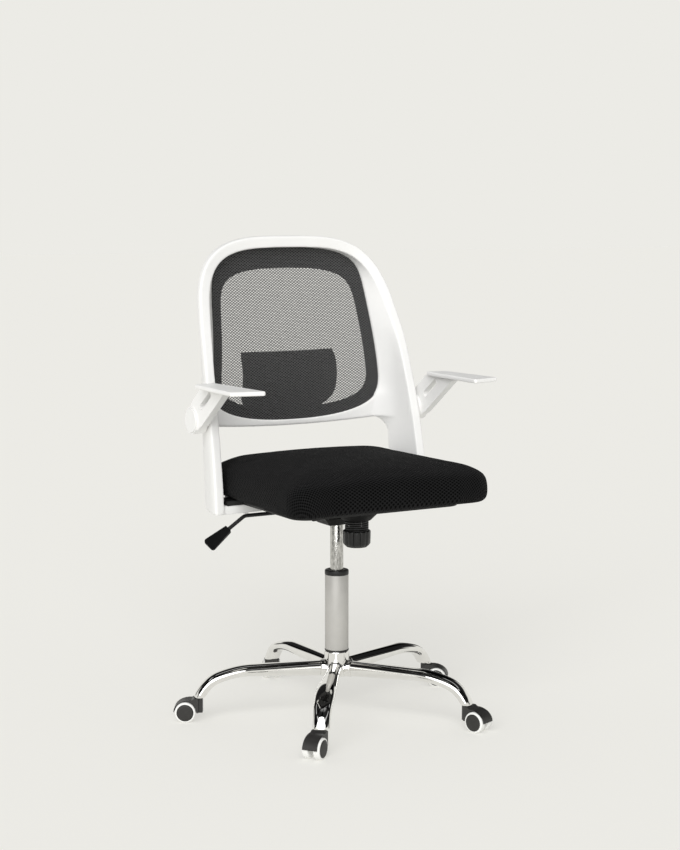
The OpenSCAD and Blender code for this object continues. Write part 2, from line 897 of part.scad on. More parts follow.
// Rod with a bend outside and, at its inner end, the cranked tongue that reaches over the button
module lever_rod() {
    tongue_z = cylinder_top_z + button_show + rest_gap;
    color(dark) {
        along_x(-lever_reach, -lever_inner_x, lever_d, lever_back, lever_z);
        translate([-lever_reach, lever_back, lever_z]) sphere(d = lever_d);
        at_lever_bend() cylinder(h = lever_limb, d = lever_d);
        difference() {
            translate([-lever_inner_x - tongue_w, -tongue_w / 2, tongue_z])
                cube([lever_inner_x + tongue_w + tongue_past, lever_back + tongue_w / 2, tongue_t]);
            translate([-lever_inner_x, tongue_w / 2, tongue_z - overrun])
                cube([lever_inner_x + tongue_w + tongue_past, lever_back, tongue_t + 2 * overrun]);
        }
    }
}

module lever_paddle() {
    color(dark)
        at_lever_bend()
            translate([0, 0, lever_limb - paddle_socket])
                rotate([0, 0, 90 - paddle_roll_angle])
                    difference() {
                        hull() {
                            translate([-paddle_neck_w / 2, -paddle_neck_t / 2, 0])
                                cube([paddle_neck_w, paddle_neck_t, paddle_neck_l]);
                            for (side = [-1, 1])
                                translate([
                                    side * (paddle_w / 2 - paddle_tip_r),
                                    -paddle_t / 2 + paddle_tip_lift,
                                    paddle_l - paddle_tip_r
                                ])
                                    rotate([-90, 0, 0])
                                        cylinder(h = paddle_tip_t, r = paddle_tip_r, $fn = 32);
                        }
                        translate([0, 0, -overrun])
                            cylinder(
                                h = paddle_socket + overrun + rest_gap,
                                d = lever_d + 2 * running_fit
                            );
                    }
}

module seat_pan() {
    side_w = pan_half_w - pan_corner_r;
    color(dark)
        difference() {
            union() {
                translate([-pan_half_w, pan_front_y + pan_corner_r, pan_z])
                    cube([2 * pan_half_w, pan_back_y - pan_front_y - 2 * pan_corner_r, pan_t]);
                translate([-side_w, pan_front_y, pan_z])
                    cube([2 * side_w, pan_back_y - pan_front_y, pan_t]);
                for (side = [-1, 1]) for (y = [pan_front_y + pan_corner_r, pan_back_y - pan_corner_r])
                    translate([side * side_w, y, pan_z]) cylinder(h = pan_t, r = pan_corner_r);
                translate([-pan_ear_half_w, pan_ear_front_y, pan_z])
                    cube([2 * pan_ear_half_w, pan_ear_back_y - pan_ear_front_y, pan_t]);
            }
            translate([0, -tension_forward, pan_z - overrun])
                cylinder(h = pan_t + 2 * overrun, d = pan_pocket_d);
            for (p = concat(plate_bolt_places(), frame_bolt_places()))
                translate([p[0], p[1], pan_z - overrun])
                    cylinder(h = pan_t - pan_skin_t + overrun, d = frame_bolt_d + 2 * bolt_play);
        }
}

// Cushion: rings from the crown down to the flat base; each entry is [inset, height], as shares
cushion_ring_shares = [
    [4.4, 1], [3.3, 0.99], [2.3, 0.965], [1.5, 0.93], [0.9, 0.885], [0.45, 0.815], [0.17, 0.72],
    [0.04, 0.6], [0, 0.42], [0.02, 0.24], [0.1, 0.09], [0.3, 0]
];
function cushion_half_w(y) = cushion_front_w / 2
    - (cushion_front_w - cushion_back_w) / 2 * (y - cushion_front_y) / cushion_depth;
function cushion_point_z(x, share) = cushion_z
    + share * (cushion_h + cushion_crown * (1 - pow(2 * x / cushion_front_w, 2)));

// Walk round the outline: four corner arcs joined by straight runs
cushion_corner_steps = 6;
cushion_run_steps = 5;
function cushion_corner(cx, cy, r, from) = [
    for (s = [0:cushion_corner_steps]) let (a = from + 90 * s / cushion_corner_steps)
        [cx + r * cos(a), cy + r * sin(a)]
];
function cushion_run(a, b) = [
    for (s = [1:cushion_run_steps - 1]) a + (b - a) * s / cushion_run_steps
];
function cushion_outline(inset) =
    let (
        rf = max(cushion_corner_r - inset * corner_shrink_share, cushion_least_r),
        rb = max(cushion_back_corner_r - inset * corner_shrink_share, cushion_least_r),
        yf = cushion_front_y + inset + rf,
        yb = cushion_front_y + cushion_depth - inset - rb,
        xf = cushion_half_w(yf) - inset - rf,
        xb = cushion_half_w(yb) - inset - rb,
        c1 = cushion_corner(xb, yb, rb, 0),
        c2 = cushion_corner(-xb, yb, rb, 90),
        c3 = cushion_corner(-xf, yf, rf, 180),
        c4 = cushion_corner(xf, yf, rf, 270),
        last = cushion_corner_steps
    )
    concat(
        c1, cushion_run(c1[last], c2[0]), c2, cushion_run(c2[last], c3[0]),
        c3, cushion_run(c3[last], c4[0]), c4, cushion_run(c4[last], c1[0])
    );

module seat_cushion() {
    color(fabric)
        loft([for (share = cushion_ring_shares)
            [for (p = cushion_outline(share[0] * cushion_edge))
                [p[0], p[1], cushion_point_z(p[0], share[1])]]]);
}

// Height share of a point on the back frame, 0 at the feet and 1 at the top
taper_end_share = 0.72;
sweep_power_share = 1.5;
sweep_bulge_share = 0.07;
sweep_bulge_start_share = 0.6;
function rise(z) = held((z - frame_foot_z) / frame_h, 0, 1);
function outer_half_w(z) = frame_half_w - back_taper * pow(min(1, rise(z) / taper_end_share), 2);
function sweep_bulge(z) = sweep_bulge_share
    * sin(180 * max(0, (rise(z) - sweep_bulge_start_share) / (1 - sweep_bulge_start_share)));
function front_edge_y(z) = frame_front_y
    + back_sweep * pow(rise(z), sweep_power_share) * (1 + sweep_bulge(z));

// Mesh opening: half width at a height, and how far back a point of the mesh lies
lean_start_share = 0.1;
lean_power_share = 3;
function mesh_share(z) = (z - mesh_base_z) / mesh_h;
function mesh_half_w(z) = (mesh_base_w + (mesh_top_w - mesh_base_w) * mesh_share(z)) / 2;
function mesh_edge_y(z) = mesh_lumbar_y
    + mesh_lean * pow(
        sin(90 * held((mesh_share(z) - lean_start_share) / (1 - lean_start_share), 0, 1)),
        lean_power_share
    );
function mesh_bow(z) = mesh_base_bow + (mesh_top_bow - mesh_base_bow) * mesh_share(z);
function mesh_y(x, z) = mesh_edge_y(z) + mesh_bow(z) * (1 - pow(min(1, abs(x) / mesh_half_w(z)), 2));

// Row of the opening at a share of its upper or lower half, as [half width, height];
// side and end widen it at its sides and at its top or base
opening_shares = concat(
    [0.9998, 0.998, 0.993, 0.983, 0.967, 0.945, 0.91, 0.86, 0.79, 0.7, 0.6, 0.5, 0.38, 0.25, 0.12, 0],
    [-0.15, -0.3, -0.45, -0.6, -0.72, -0.82, -0.89, -0.94, -0.975, -0.993, -0.9998]
);
function opening_round(share) = share > 0
    ? rounding(share, top_up_share, top_across_share)
    : rounding(-share, base_up_share, base_across_share);
function opening_row(share, side, end) =
    let (
        span = share > 0 ? mesh_top_z - round_start_z : round_start_z - mesh_base_z,
        z = round_start_z + share * (span + end)
    )
    [(mesh_half_w(z) + side) * opening_round(share), z];

// Sheet with the outline of the opening, widened by grow, from one depth behind the mesh line to another
function sheet_ring(row, front, back) = concat(
    [for (i = [0:mesh_columns]) let (x = row[0] * (2 * i / mesh_columns - 1))
        [x, mesh_y(x, row[1]) + front, row[1]]],
    [for (i = [mesh_columns:-1:0]) let (x = row[0] * (2 * i / mesh_columns - 1))
        [x, mesh_y(x, row[1]) + back, row[1]]]
);
module opening_sheet(grow, front, back) {
    loft([for (share = opening_shares) sheet_ring(opening_row(share, grow, grow), front, back)]);
}

// Half of the frame's outline from foot to top centre; each station is [height, share of the top rounding]
frame_leg_shares = [0, 0.25, 0.5, 0.75, 1];
frame_fillet_angles = [15, 30, 45, 60, 75];
frame_side_shares = [0, 0.17, 0.34, 0.5, 0.67, 0.84, 1];
frame_top_angles = [3, 6, 10, 14, 19, 24, 29, 34, 39, 44, 49, 54, 60, 66, 72, 78, 84, 90];
frame_stations = concat(
    [for (t = frame_leg_shares) [frame_foot_z + t * (fillet_top_z - leg_fillet_r - frame_foot_z), 0]],
    [for (a = frame_fillet_angles) [fillet_top_z - leg_fillet_r * (1 - sin(a)), 0]],
    [for (t = frame_side_shares) [fillet_top_z + t * (round_start_z - fillet_top_z), 0]],
    [for (a = frame_top_angles) [0, pow(sin(a), 2 / outer_round_share)]]
);

// The leg's inner back corner, which flares out below the low rail
function leg_inner_x(z) = z > fillet_top_z
    ? fillet_inner_x + (mesh_half_w(round_start_z) - fillet_inner_x)
        * (z - fillet_top_z) / (round_start_z - fillet_top_z)
    : leg_back_half_w - leg_fillet_r
        * (1 - sqrt(max(0, 1 - pow(max(0, (z - fillet_top_z + leg_fillet_r) / leg_fillet_r), 2))));

// Point on the curve from a to b that is drawn toward c
function bent(a, c, b, t) = (1 - t) * (1 - t) * a + 2 * t * (1 - t) * c + t * t * b;

// Section of the frame's side at a station, for the right-hand side
corner_reach_share = 0.55;
leg_lean_share = 3;
outer_bend_shares = [0.25, 0.5, 0.75];
inner_bend_shares = [0.3, 0.5, 0.68, 0.85];
function frame_section(station) =
    let (
        u = station[1],
        low = u == 0,
        zo = low ? station[0] : round_start_z + u * (frame_top_z - round_start_z),
        zi = low ? station[0] : round_start_z + u * (mesh_top_z - round_start_z),
        half = rounding(u, outer_round_share, outer_round_share),
        xo = outer_half_w(zo) * half,
        xi = low ? leg_inner_x(zi) : mesh_half_w(zi) * opening_round(u),
        gx = pow(half, outer_round_share - 1) / outer_half_w(zo),
        gz = pow(u, outer_round_share - 1) / (frame_top_z - round_start_z),
        nx = gx / norm([gx, gz]),
        nz = gz / norm([gx, gz]),
        normal = [nx, 0, nz],
        strip = edge_w + (top_rail_h - edge_w) * u,
        leg = held((fillet_top_z - zo) / leg_fillet_r, 0, 1),
        slim = held((fillet_top_z + 2 * leg_fillet_r - zo) / (3 * leg_fillet_r), 0, 1),
        corner = max(0, 1 - max(0, zo - fillet_top_z) / (corner_reach_share * mesh_h)),
        leg_y = leg_back_y - leg_back_lean * (1 - rise(zo) * leg_lean_share),
        yi = leg * leg_y + (1 - leg) * mesh_y(xi, zi),
        depth = frame_depth * (1 - slim) + slim * frame_slim,
        outer = [xo, front_edge_y(zo), zo],
        fi = outer + [0, edge_bevel, 0] - strip * normal,
        lip = [xi, yi, zi] - lip_trim * normal,
        wall = (fi + lip) / 2 + corner * ([leg_back_half_w, leg_y - leg_back_step, zi] - (fi + lip) / 2),
        flank = (fi + wall) / 2,
        rear = lip + [0, depth, 0],
        rear_out = (1 - corner) * (rear + (frame_rear_round + u * frame_rear_round_top) * normal)
            + corner * [leg_back_half_w + leg_back_t, leg_y + edge_bevel, zi],
        side_back = outer + [0, edge_side_w, 0],
        outer_bend = (rear_out + outer) / 2 + side_bulge_out * normal + [0, side_bulge_back, 0]
    )
    concat(
        [rear, rear_out],
        [for (t = outer_bend_shares) bent(rear_out, outer_bend, side_back, t)],
        [
            side_back - edge_side_in * normal,
            outer + [0, edge_side_back, 0],
            outer + [0, edge_bevel, 0] - edge_bevel * normal,
            outer - edge_bevel_w * normal,
            fi,
            flank
        ],
        [for (t = inner_bend_shares) bent(flank, wall, lip, t)],
        [lip]
    );

// Section of the rail under the mesh; its lower edge bows down toward the middle
rail_shares = [-0.97, -0.9, -0.8, -0.65, -0.5, -0.25, 0, 0.25, 0.5, 0.65, 0.8, 0.9, 0.97];
function low_rail_section(share) =
    let (
        x = share * mesh_half_w(mesh_base_z),
        drop = rounding(abs(share), base_across_share, base_up_share),
        top = round_start_z - (round_start_z - mesh_base_z) * drop + lip_trim,
        base = low_rail_z + low_rail_bow * pow(abs(share), 2),
        y = mesh_y(x, top)
    )
    [
        [x, y, top],
        [x, y + frame_depth, top],
        [x, y + frame_depth - low_rail_round, base + edge_bevel],
        [x, y + frame_depth - low_rail_round - low_rail_edge, base],
        [x, y + low_rail_round, base],
        [x, y + edge_bevel, base + low_rail_edge]
    ];

// Foot of a leg: a flat block that narrows toward the back, seen from above
module frame_foot(side) {
    front_y = frame_front_y + foot_front_set;
    mirror([side < 0 ? 1 : 0, 0, 0])
        translate([0, 0, frame_foot_z])
            linear_extrude(foot_t)
                polygon([
                    [foot_inner_x, front_y], [frame_half_w - foot_side_set, front_y],
                    [leg_back_half_w + foot_back_set, foot_back_y], [foot_inner_x, foot_back_y]
                ]);
}

// Boss on a leg for the armrest's pivot, drawn in toward its face
module pivot_boss(side) {
    hull() {
        along_x(
            side * (frame_half_w - boss_depth), side * (frame_half_w - boss_base_depth),
            barrel_d - boss_base_set, arm_pivot_y, arm_pivot_z, $fn = 32
        );
        along_x(
            side * (frame_half_w - boss_base_depth), side * boss_face_x,
            barrel_d - boss_face_set, arm_pivot_y, arm_pivot_z, $fn = 32
        );
    }
}

// Rib that stiffens the foot inside a leg
module foot_rib(side, y) {
    hull()
        for (x = [leg_back_half_w - rib_inner_set, leg_back_half_w + rib_outer_set])
            translate([side * x, y, frame_foot_z]) cube([rib_end_t, rib_t, foot_t - rib_low]);
}

function frame_bolt_places() = [for (side = [-1, 1]) for (y = foot_hole_y) [side * foot_hole_x, y]];

module back_frame() {
    right = [for (s = frame_stations) frame_section(s)];
    last = len(right) - 1;
    left = [for (i = [last - 1:-1:0]) [for (p = right[i]) [-p[0], p[1], p[2]]]];
    color(white)
        difference() {
            union() {
                loft(concat(right, left));
                loft([for (t = rail_shares) low_rail_section(t)]);
                for (side = [-1, 1]) {
                    frame_foot(side);
                    pivot_boss(side);
                    for (i = [0:rib_count - 1]) foot_rib(side, rib_front_y + i * rib_step);
                }
            }
            opening_sheet(0, -mesh_h, mesh_h);
            opening_sheet(mesh_tuck + rest_gap, lip_t, mesh_h);
            for (side = [-1, 1])
                along_x(
                    side * (frame_half_w - pin_depth), side * (boss_face_x + overrun),
                    pivot_pin_d + 2 * bolt_play, arm_pivot_y, arm_pivot_z
                );
            for (p = frame_bolt_places())
                translate([p[0], p[1], frame_foot_z - overrun])
                    cylinder(h = foot_t + 2 * overrun, d = frame_bolt_d + 2 * bolt_play, $fn = 24);
        }
}

module frame_bolts() {
    color(chrome)
        for (p = frame_bolt_places())
            bolt_up(p, frame_foot_z, foot_t + pan_t - bolt_short, frame_bolt_d);
}

module mesh_panel() {
    color(fabric)
        opening_sheet(mesh_tuck, lip_t + rest_gap / 2, lip_t + rest_gap / 2 + mesh_t);
}

// Inner ring: a flat band behind the mesh's edge, wider along the top; each step of the walk round it
// is [side, share of the opening's row]
last_share = len(opening_shares) - 1;
ring_walk_shares = concat(
    [[0, 1]], [for (i = [0:last_share]) [-1, opening_shares[i]]],
    [[0, -1]], [for (i = [last_share:-1:0]) [1, opening_shares[i]]]
);
function ring_edge(step, side, end) = let (row = opening_row(step[1], side, end)) [step[0] * row[0], row[1]];
function ring_point(p, back) = [p[0], mesh_y(p[0], p[1]) + ring_front + back, p[1]];

module mesh_ring() {
    color(dark)
        ring_loft([for (step = ring_walk_shares)
            let (
                out = ring_edge(step, mesh_tuck, mesh_tuck),
                in = ring_edge(step, -ring_side_w, step[1] > 0 ? -ring_top_w : -ring_side_w),
                mid = (out + in) / 2
            )
            [
                ring_point(out, 0), ring_point(mid, 0), ring_point(in, 0),
                ring_point(in, ring_t), ring_point(mid, ring_t), ring_point(out, ring_t)
            ]]);
}

// Lumbar pad: a bowed sheet behind the mesh, with a narrow tab that lies on the inner ring's lower band
pad_low_in_share = 0.1;
pad_low_end_share = 0.25;
pad_high_in_share = 0.03;
pad_high_start_share = 5 / 6;
curl_middle_share = 0.55;
function lumbar_half_w(t) = lumbar_w / 2 * (
    1 - pad_low_in_share * pow(max(0, 1 - t / pad_low_end_share), 2)
    - pad_high_in_share * pow(max(0, (t - pad_high_start_share) / (1 - pad_high_start_share)), 2)
);
function lumbar_row(t) =
    let (
        half = lumbar_half_w(t),
        z = lumbar_z + lumbar_h * t,
        y = mesh_lumbar_y + lumbar_set + lumbar_curl * pow(2 * (t - curl_middle_share), 2)
    )
    [for (i = [0:lumbar_steps]) let (q = 2 * i / lumbar_steps - 1)
        [half * q, y + lumbar_side_curl * q * q, z]];
function tab_row(z) = [
    for (i = [0:lumbar_steps]) let (x = tab_half_w * (2 * i / lumbar_steps - 1))
        [x, mesh_y(x, z) + ring_front + ring_t + rest_gap / 2, z]
];
function thick_row(row) = concat(row, [for (i = [len(row) - 1:-1:0]) row[i] + [0, lumbar_t, 0]]);

module lumbar_pad() {
    color(dark)
        loft(concat(
            [for (j = [lumbar_steps:-1:0]) thick_row(lumbar_row(j / lumbar_steps))],
            [for (z = [lumbar_z - tab_top_gap, lumbar_z - tab_top_gap - tab_h]) thick_row(tab_row(z))]
        ));
}

// Armrest, for the right-hand side: a point of the arm's plate, given along the arm and across it
function arm_point(along, across) = [
    arm_pivot_y - along * cos(arm_slope_angle) + across * sin(arm_slope_angle),
    arm_pivot_z + along * sin(arm_slope_angle) + across * cos(arm_slope_angle)
];

// Outline of the arm: it widens from the barrel and its lower edge sweeps forward into the pad
arm_blend_angles = [0, 6, 12, 18, 24, 30, 36];
function arm_outline() =
    let (
        low = arm_point(arm_widen, -arm_half_w),
        back = arm_point(arm_widen, arm_half_w),
        run = (pad_z - arm_blend_r * (1 - cos(arm_slope_angle)) - low[1]) / tan(arm_slope_angle),
        centre = [
            low[0] - run - arm_blend_r * sin(arm_slope_angle),
            low[1] + run * tan(arm_slope_angle) - arm_blend_r * cos(arm_slope_angle)
        ]
    )
    concat(
        [arm_point(0, -arm_root_half), arm_point(0, arm_root_half), back],
        [[back[0] - (pad_z - back[1]) / tan(arm_slope_angle), pad_z]],
        [for (a = arm_blend_angles) centre + arm_blend_r * [sin(a), cos(a)]],
        [low]
    );

module arm_slot() {
    translate([arm_pivot_y, arm_pivot_z])
        rotate(180 - arm_slope_angle) {
            for (along = [arm_slot_start, arm_slot_end]) translate([along, 0]) circle(d = arm_slot_w);
            translate([arm_slot_start, -arm_slot_w / 2])
                square([arm_slot_end - arm_slot_start, arm_slot_w]);
        }
}

module arm_body() {
    color(white)
        difference() {
            union() {
                translate([arm_inner_x, 0, 0])
                    rotate([90, 0, 90])
                        linear_extrude(arm_t)
                            difference() {
                                polygon(arm_outline());
                                arm_slot();
                            }
                along_x(boss_face_x + rest_gap, barrel_outer_x, barrel_d, arm_pivot_y, arm_pivot_z);
            }
            along_x(
                boss_face_x - overrun, barrel_outer_x + overrun,
                pivot_pin_d + 2 * running_fit, arm_pivot_y, arm_pivot_z
            );
            along_x(
                barrel_outer_x - cap_recess - pin_head_t - rest_gap, barrel_outer_x + overrun,
                pin_head_d + 2 * bolt_play, arm_pivot_y, arm_pivot_z
            );
            along_x(barrel_outer_x - cap_recess, barrel_outer_x + overrun, cap_d, arm_pivot_y, arm_pivot_z);
        }
}

module pivot_pin() {
    pin_end_x = barrel_outer_x - cap_recess - rest_gap;
    color(chrome) {
        along_x(frame_half_w - pin_depth + rest_gap, pin_end_x, pivot_pin_d, arm_pivot_y, arm_pivot_z);
        along_x(pin_end_x + rest_gap - pin_head_t, pin_end_x, pin_head_d, arm_pivot_y, arm_pivot_z);
    }
}

module pivot_cap() {
    cap_x = barrel_outer_x - cap_recess;
    color(white) along_x(cap_x, cap_x + cap_t, cap_d - 2 * rest_gap, arm_pivot_y, arm_pivot_z);
}

module arm_pad() {
    front_y = pad_back_end_y - pad_length;
    corners = [
        [pad_inner_back_x, pad_back_end_y],
        [pad_inner_back_x + pad_back_w, pad_back_end_y - pad_back_skew],
        [pad_inner_front_x + pad_front_w, front_y + pad_front_skew],
        [pad_inner_front_x, front_y]
    ];
    middle = [pad_inner_back_x + pad_back_w / 2, pad_back_end_y - pad_length / 2];
    color(white)
        hull()
            for (c = corners) {
                toward = [sign(middle[0] - c[0]), sign(middle[1] - c[1])];
                translate([c[0] + toward[0] * pad_corner_r, c[1] + toward[1] * pad_corner_r, pad_z]) {
                    translate([0, 0, pad_edge])
                        cylinder(h = pad_t - 2 * pad_edge, r = pad_corner_r, $fn = 32);
                    cylinder(h = pad_t, r = pad_corner_r - pad_edge_in, $fn = 32);
                }
            }
}

module arm_left() {
    mirror([1, 0, 0]) arm_body();
}

module arm_right() {
    arm_body();
}

module arm_pad_left() {
    mirror([1, 0, 0]) arm_pad();
}

module arm_pad_right() {
    arm_pad();
}

module pivot_pin_left() {
    mirror([1, 0, 0]) pivot_pin();
}

module pivot_pin_right() {
    pivot_pin();
}

module pivot_cap_left() {
    mirror([1, 0, 0]) pivot_cap();
}

module pivot_cap_right() {
    pivot_cap();
}

// Side outline of a caster's hood, as [forward, up]: a block round the stem and an arch over the wheels
hood_arch_angles = [96, 84, 72, 60, 48, 36, 24, 12, 0];
function hood_arch(a) = [
    hood_arch_x + (hood_tip_x - hood_arch_x) * cos(a),
    hood_tip_z + (hood_arch_top_z - hood_tip_z) * sin(a)
];
function hood_outline() = concat(
    [[-hood_rear, wheel_r - hood_skirt], [-hood_rear, hood_top_z], [hood_block_x, hood_top_z]],
    [for (a = hood_arch_angles) hood_arch(a)],
    [[hood_tip_x - hood_tip_cut, hood_tip_z]]
);

module caster_hood(i) {
    color(dark)
        at_caster(i)
            difference() {
                intersection() {
                    translate([0, hood_w / 2, 0])
                        rotate([90, 0, 0]) linear_extrude(hood_w) polygon(hood_outline());
                    union() {
                        cylinder(h = leg_tip_z, d = hood_block_d);
                        translate([hood_side_x, -hood_w / 2, 0]) cube([hood_tip_x, hood_w, leg_tip_z]);
                    }
                }
                for (side = [-1, 1])
                    translate([caster_trail, side * (hood_web_t / 2 + hood_w / 2), wheel_r])
                        rotate([90, 0, 0]) cylinder(h = hood_w, r = hood_pocket_r, center = true);
                translate([0, 0, stem_seat_z]) cylinder(h = leg_tip_z, d = stem_d + 2 * running_fit);
                translate([caster_trail, 0, wheel_r])
                    rotate([90, 0, 0]) cylinder(h = hood_w, d = axle_d + 2 * running_fit, center = true);
            }
}

module caster_stem(i) {
    stem_top_z = leg_tip_z + stem_socket_h - rest_gap;
    color(chrome)
        at_caster(i)
            translate([0, 0, stem_seat_z + rest_gap])
                cylinder(h = stem_top_z - stem_seat_z - rest_gap, d = stem_d);
}

module caster_axle(i) {
    color(chrome)
        at_caster(i)
            translate([caster_trail, 0, wheel_r])
                rotate([90, 0, 0])
                    cylinder(h = 2 * (wheel_outer - axle_cover - rest_gap), d = axle_d, center = true);
}

// A wheel: white tyre and dark dished disc moulded as one, for the side given by -1 or 1
module caster_wheel(i, side) {
    disc_r = wheel_r - tyre_ring_w;
    color(white)
        at_caster(i)
            translate([caster_trail, side * wheel_inner, wheel_r])
                rotate([side * -90, 0, 0])
                    difference() {
                        rotate_extrude()
                            polygon([
                                [0, 0],
                                [wheel_r - tyre_edge, 0],
                                [wheel_r, tyre_edge],
                                [wheel_r, wheel_w - tyre_edge],
                                [wheel_r - tyre_edge, wheel_w],
                                [disc_r, wheel_w],
                                [disc_r - disc_groove, wheel_w - disc_groove],
                                [disc_r - 2 * disc_groove, wheel_w],
                                [disc_r / 2, wheel_w + disc_dome / 2],
                                [0, wheel_w + disc_dome]
                            ]);
                        translate([0, 0, -overrun])
                            cylinder(h = wheel_w - axle_cover + overrun, d = axle_d + 2 * running_fit);
                    }
}

base_hub();
base_legs();
column_tube();
column_bush();
thrust_bearing();
retaining_clip();
piston_rod();
gas_cylinder();
release_button();
tilt_housing();
tilt_pins();
seat_plate();
tension_bolt();
tension_spring();
tension_knob();
lever_bush();
lever_rod();
lever_paddle();
seat_pan();
seat_cushion();
plate_bolts();
back_frame();
frame_bolts();
mesh_ring();
mesh_panel();
lumbar_pad();
arm_left();
arm_right();
arm_pad_left();
arm_pad_right();
pivot_pin_left();
pivot_pin_right();
pivot_cap_left();
pivot_cap_right();
caster_hood(0);  // caster_1_hood
caster_stem(0);  // caster_1_stem
caster_axle(0);  // caster_1_axle
caster_wheel(0, -1);  // caster_1_wheel_left
caster_wheel(0, 1);  // caster_1_wheel_right
caster_hood(1);  // caster_2_hood
caster_stem(1);  // caster_2_stem
caster_axle(1);  // caster_2_axle
caster_wheel(1, -1);  // caster_2_wheel_left
caster_wheel(1, 1);  // caster_2_wheel_right
caster_hood(2);  // caster_3_hood
caster_stem(2);  // caster_3_stem
caster_axle(2);  // caster_3_axle
caster_wheel(2, -1);  // caster_3_wheel_left
caster_wheel(2, 1);  // caster_3_wheel_right
caster_hood(3);  // caster_4_hood
caster_stem(3);  // caster_4_stem
caster_axle(3);  // caster_4_axle
caster_wheel(3, -1);  // caster_4_wheel_left
caster_wheel(3, 1);  // caster_4_wheel_right
caster_hood(4);  // caster_5_hood
caster_stem(4);  // caster_5_stem
caster_axle(4);  // caster_5_axle
caster_wheel(4, -1);  // caster_5_wheel_left
caster_wheel(4, 1);  // caster_5_wheel_right
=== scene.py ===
import math

import bmesh
import bpy
import numpy as np
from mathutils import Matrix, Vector


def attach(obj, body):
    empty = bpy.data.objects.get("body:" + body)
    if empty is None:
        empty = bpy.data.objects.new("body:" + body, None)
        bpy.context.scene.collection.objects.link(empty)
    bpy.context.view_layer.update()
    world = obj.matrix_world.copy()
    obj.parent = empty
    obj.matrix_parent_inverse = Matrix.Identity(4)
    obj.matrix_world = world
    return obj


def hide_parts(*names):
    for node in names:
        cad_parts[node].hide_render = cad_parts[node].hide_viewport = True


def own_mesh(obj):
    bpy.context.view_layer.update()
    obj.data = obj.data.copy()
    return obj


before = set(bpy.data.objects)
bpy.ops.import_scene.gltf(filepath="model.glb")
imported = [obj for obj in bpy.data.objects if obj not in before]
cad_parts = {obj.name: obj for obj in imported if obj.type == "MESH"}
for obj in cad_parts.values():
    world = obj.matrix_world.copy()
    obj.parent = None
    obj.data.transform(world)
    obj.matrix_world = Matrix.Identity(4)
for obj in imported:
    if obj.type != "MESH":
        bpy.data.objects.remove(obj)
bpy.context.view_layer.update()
scene = bpy.context.scene
MM = 0.001
# Sockets of a colour Mix node, which share their names with the other kinds
MIX_A, MIX_B, MIX_RESULT = 6, 7, 2

# ---- Camera, light and floor ----

LENS, SENSOR_W, VIEW_REACH = 73.881, 36, 200
CAMERA_PLACE = (-1.8203, -3.1481, 1.0622)
CAMERA_DIP = 0.120961
CAMERA_TURN = math.radians(30.038) + 0.0019
BACKGROUND = (0.839, 0.831, 0.791)
SKY_COLOUR, SKY_LEVEL = (1, 0.995, 0.985), 0.5
SUN_TOWARD, SUN_LEVEL, SUN_SPREAD = (-0.62, -0.72, 0.55), 2.3, 55
FLOOR_GLOW, FLOOR_REACH = 0.55, 40


def grey(level):
    return (level,) * 3


# The studio that only the chrome mirrors, from level to straight up: share of the height, and colour
STUDIO_TONES = [
    (0, BACKGROUND), (0.3, BACKGROUND), (0.38, grey(0.02)), (0.72, grey(0.012)), (0.75, grey(0.7)),
    (0.77, grey(0.7)), (0.8, grey(0.012)), (0.95, grey(0.02)), (1, grey(0.35)),
]
# Dark flags round that studio: middle and half width as shares of a turn, their soft edge and their tone
FLAGS = [(0.12, 0.022), (0.27, 0.03), (0.45, 0.022), (0.62, 0.03), (0.83, 0.03)]
FLAG_EDGE, FLAG_TONE, FIRST_LIT = 0.008, grey(0.05), 0.06


def make_camera():
    data = bpy.data.cameras.new("camera")
    data.lens = LENS
    data.sensor_width = SENSOR_W
    data.clip_end = VIEW_REACH
    camera = bpy.data.objects.new("camera", data)
    scene.collection.objects.link(camera)
    camera.location = CAMERA_PLACE
    camera.rotation_euler = (math.pi / 2 - CAMERA_DIP, 0, -CAMERA_TURN)
    scene.camera = camera


def ramp(tree, stops):
    """Colour ramp through stops of (position, colour)."""
    made = tree.nodes.new("ShaderNodeValToRGB")
    elements = made.color_ramp.elements
    for number, (position, colour) in enumerate(stops):
        stop = elements[number] if number < 2 else elements.new(position)
        stop.position = position
        stop.color = (*colour, 1)
    return made


def flag_stops():
    stops = [(0, grey(1)), (FIRST_LIT, grey(1))]
    for middle, half in FLAGS:
        stops += [
            (middle - half, grey(1)), (middle - half + FLAG_EDGE, FLAG_TONE),
            (middle + half - FLAG_EDGE, FLAG_TONE), (middle + half, grey(1)),
        ]
    return stops


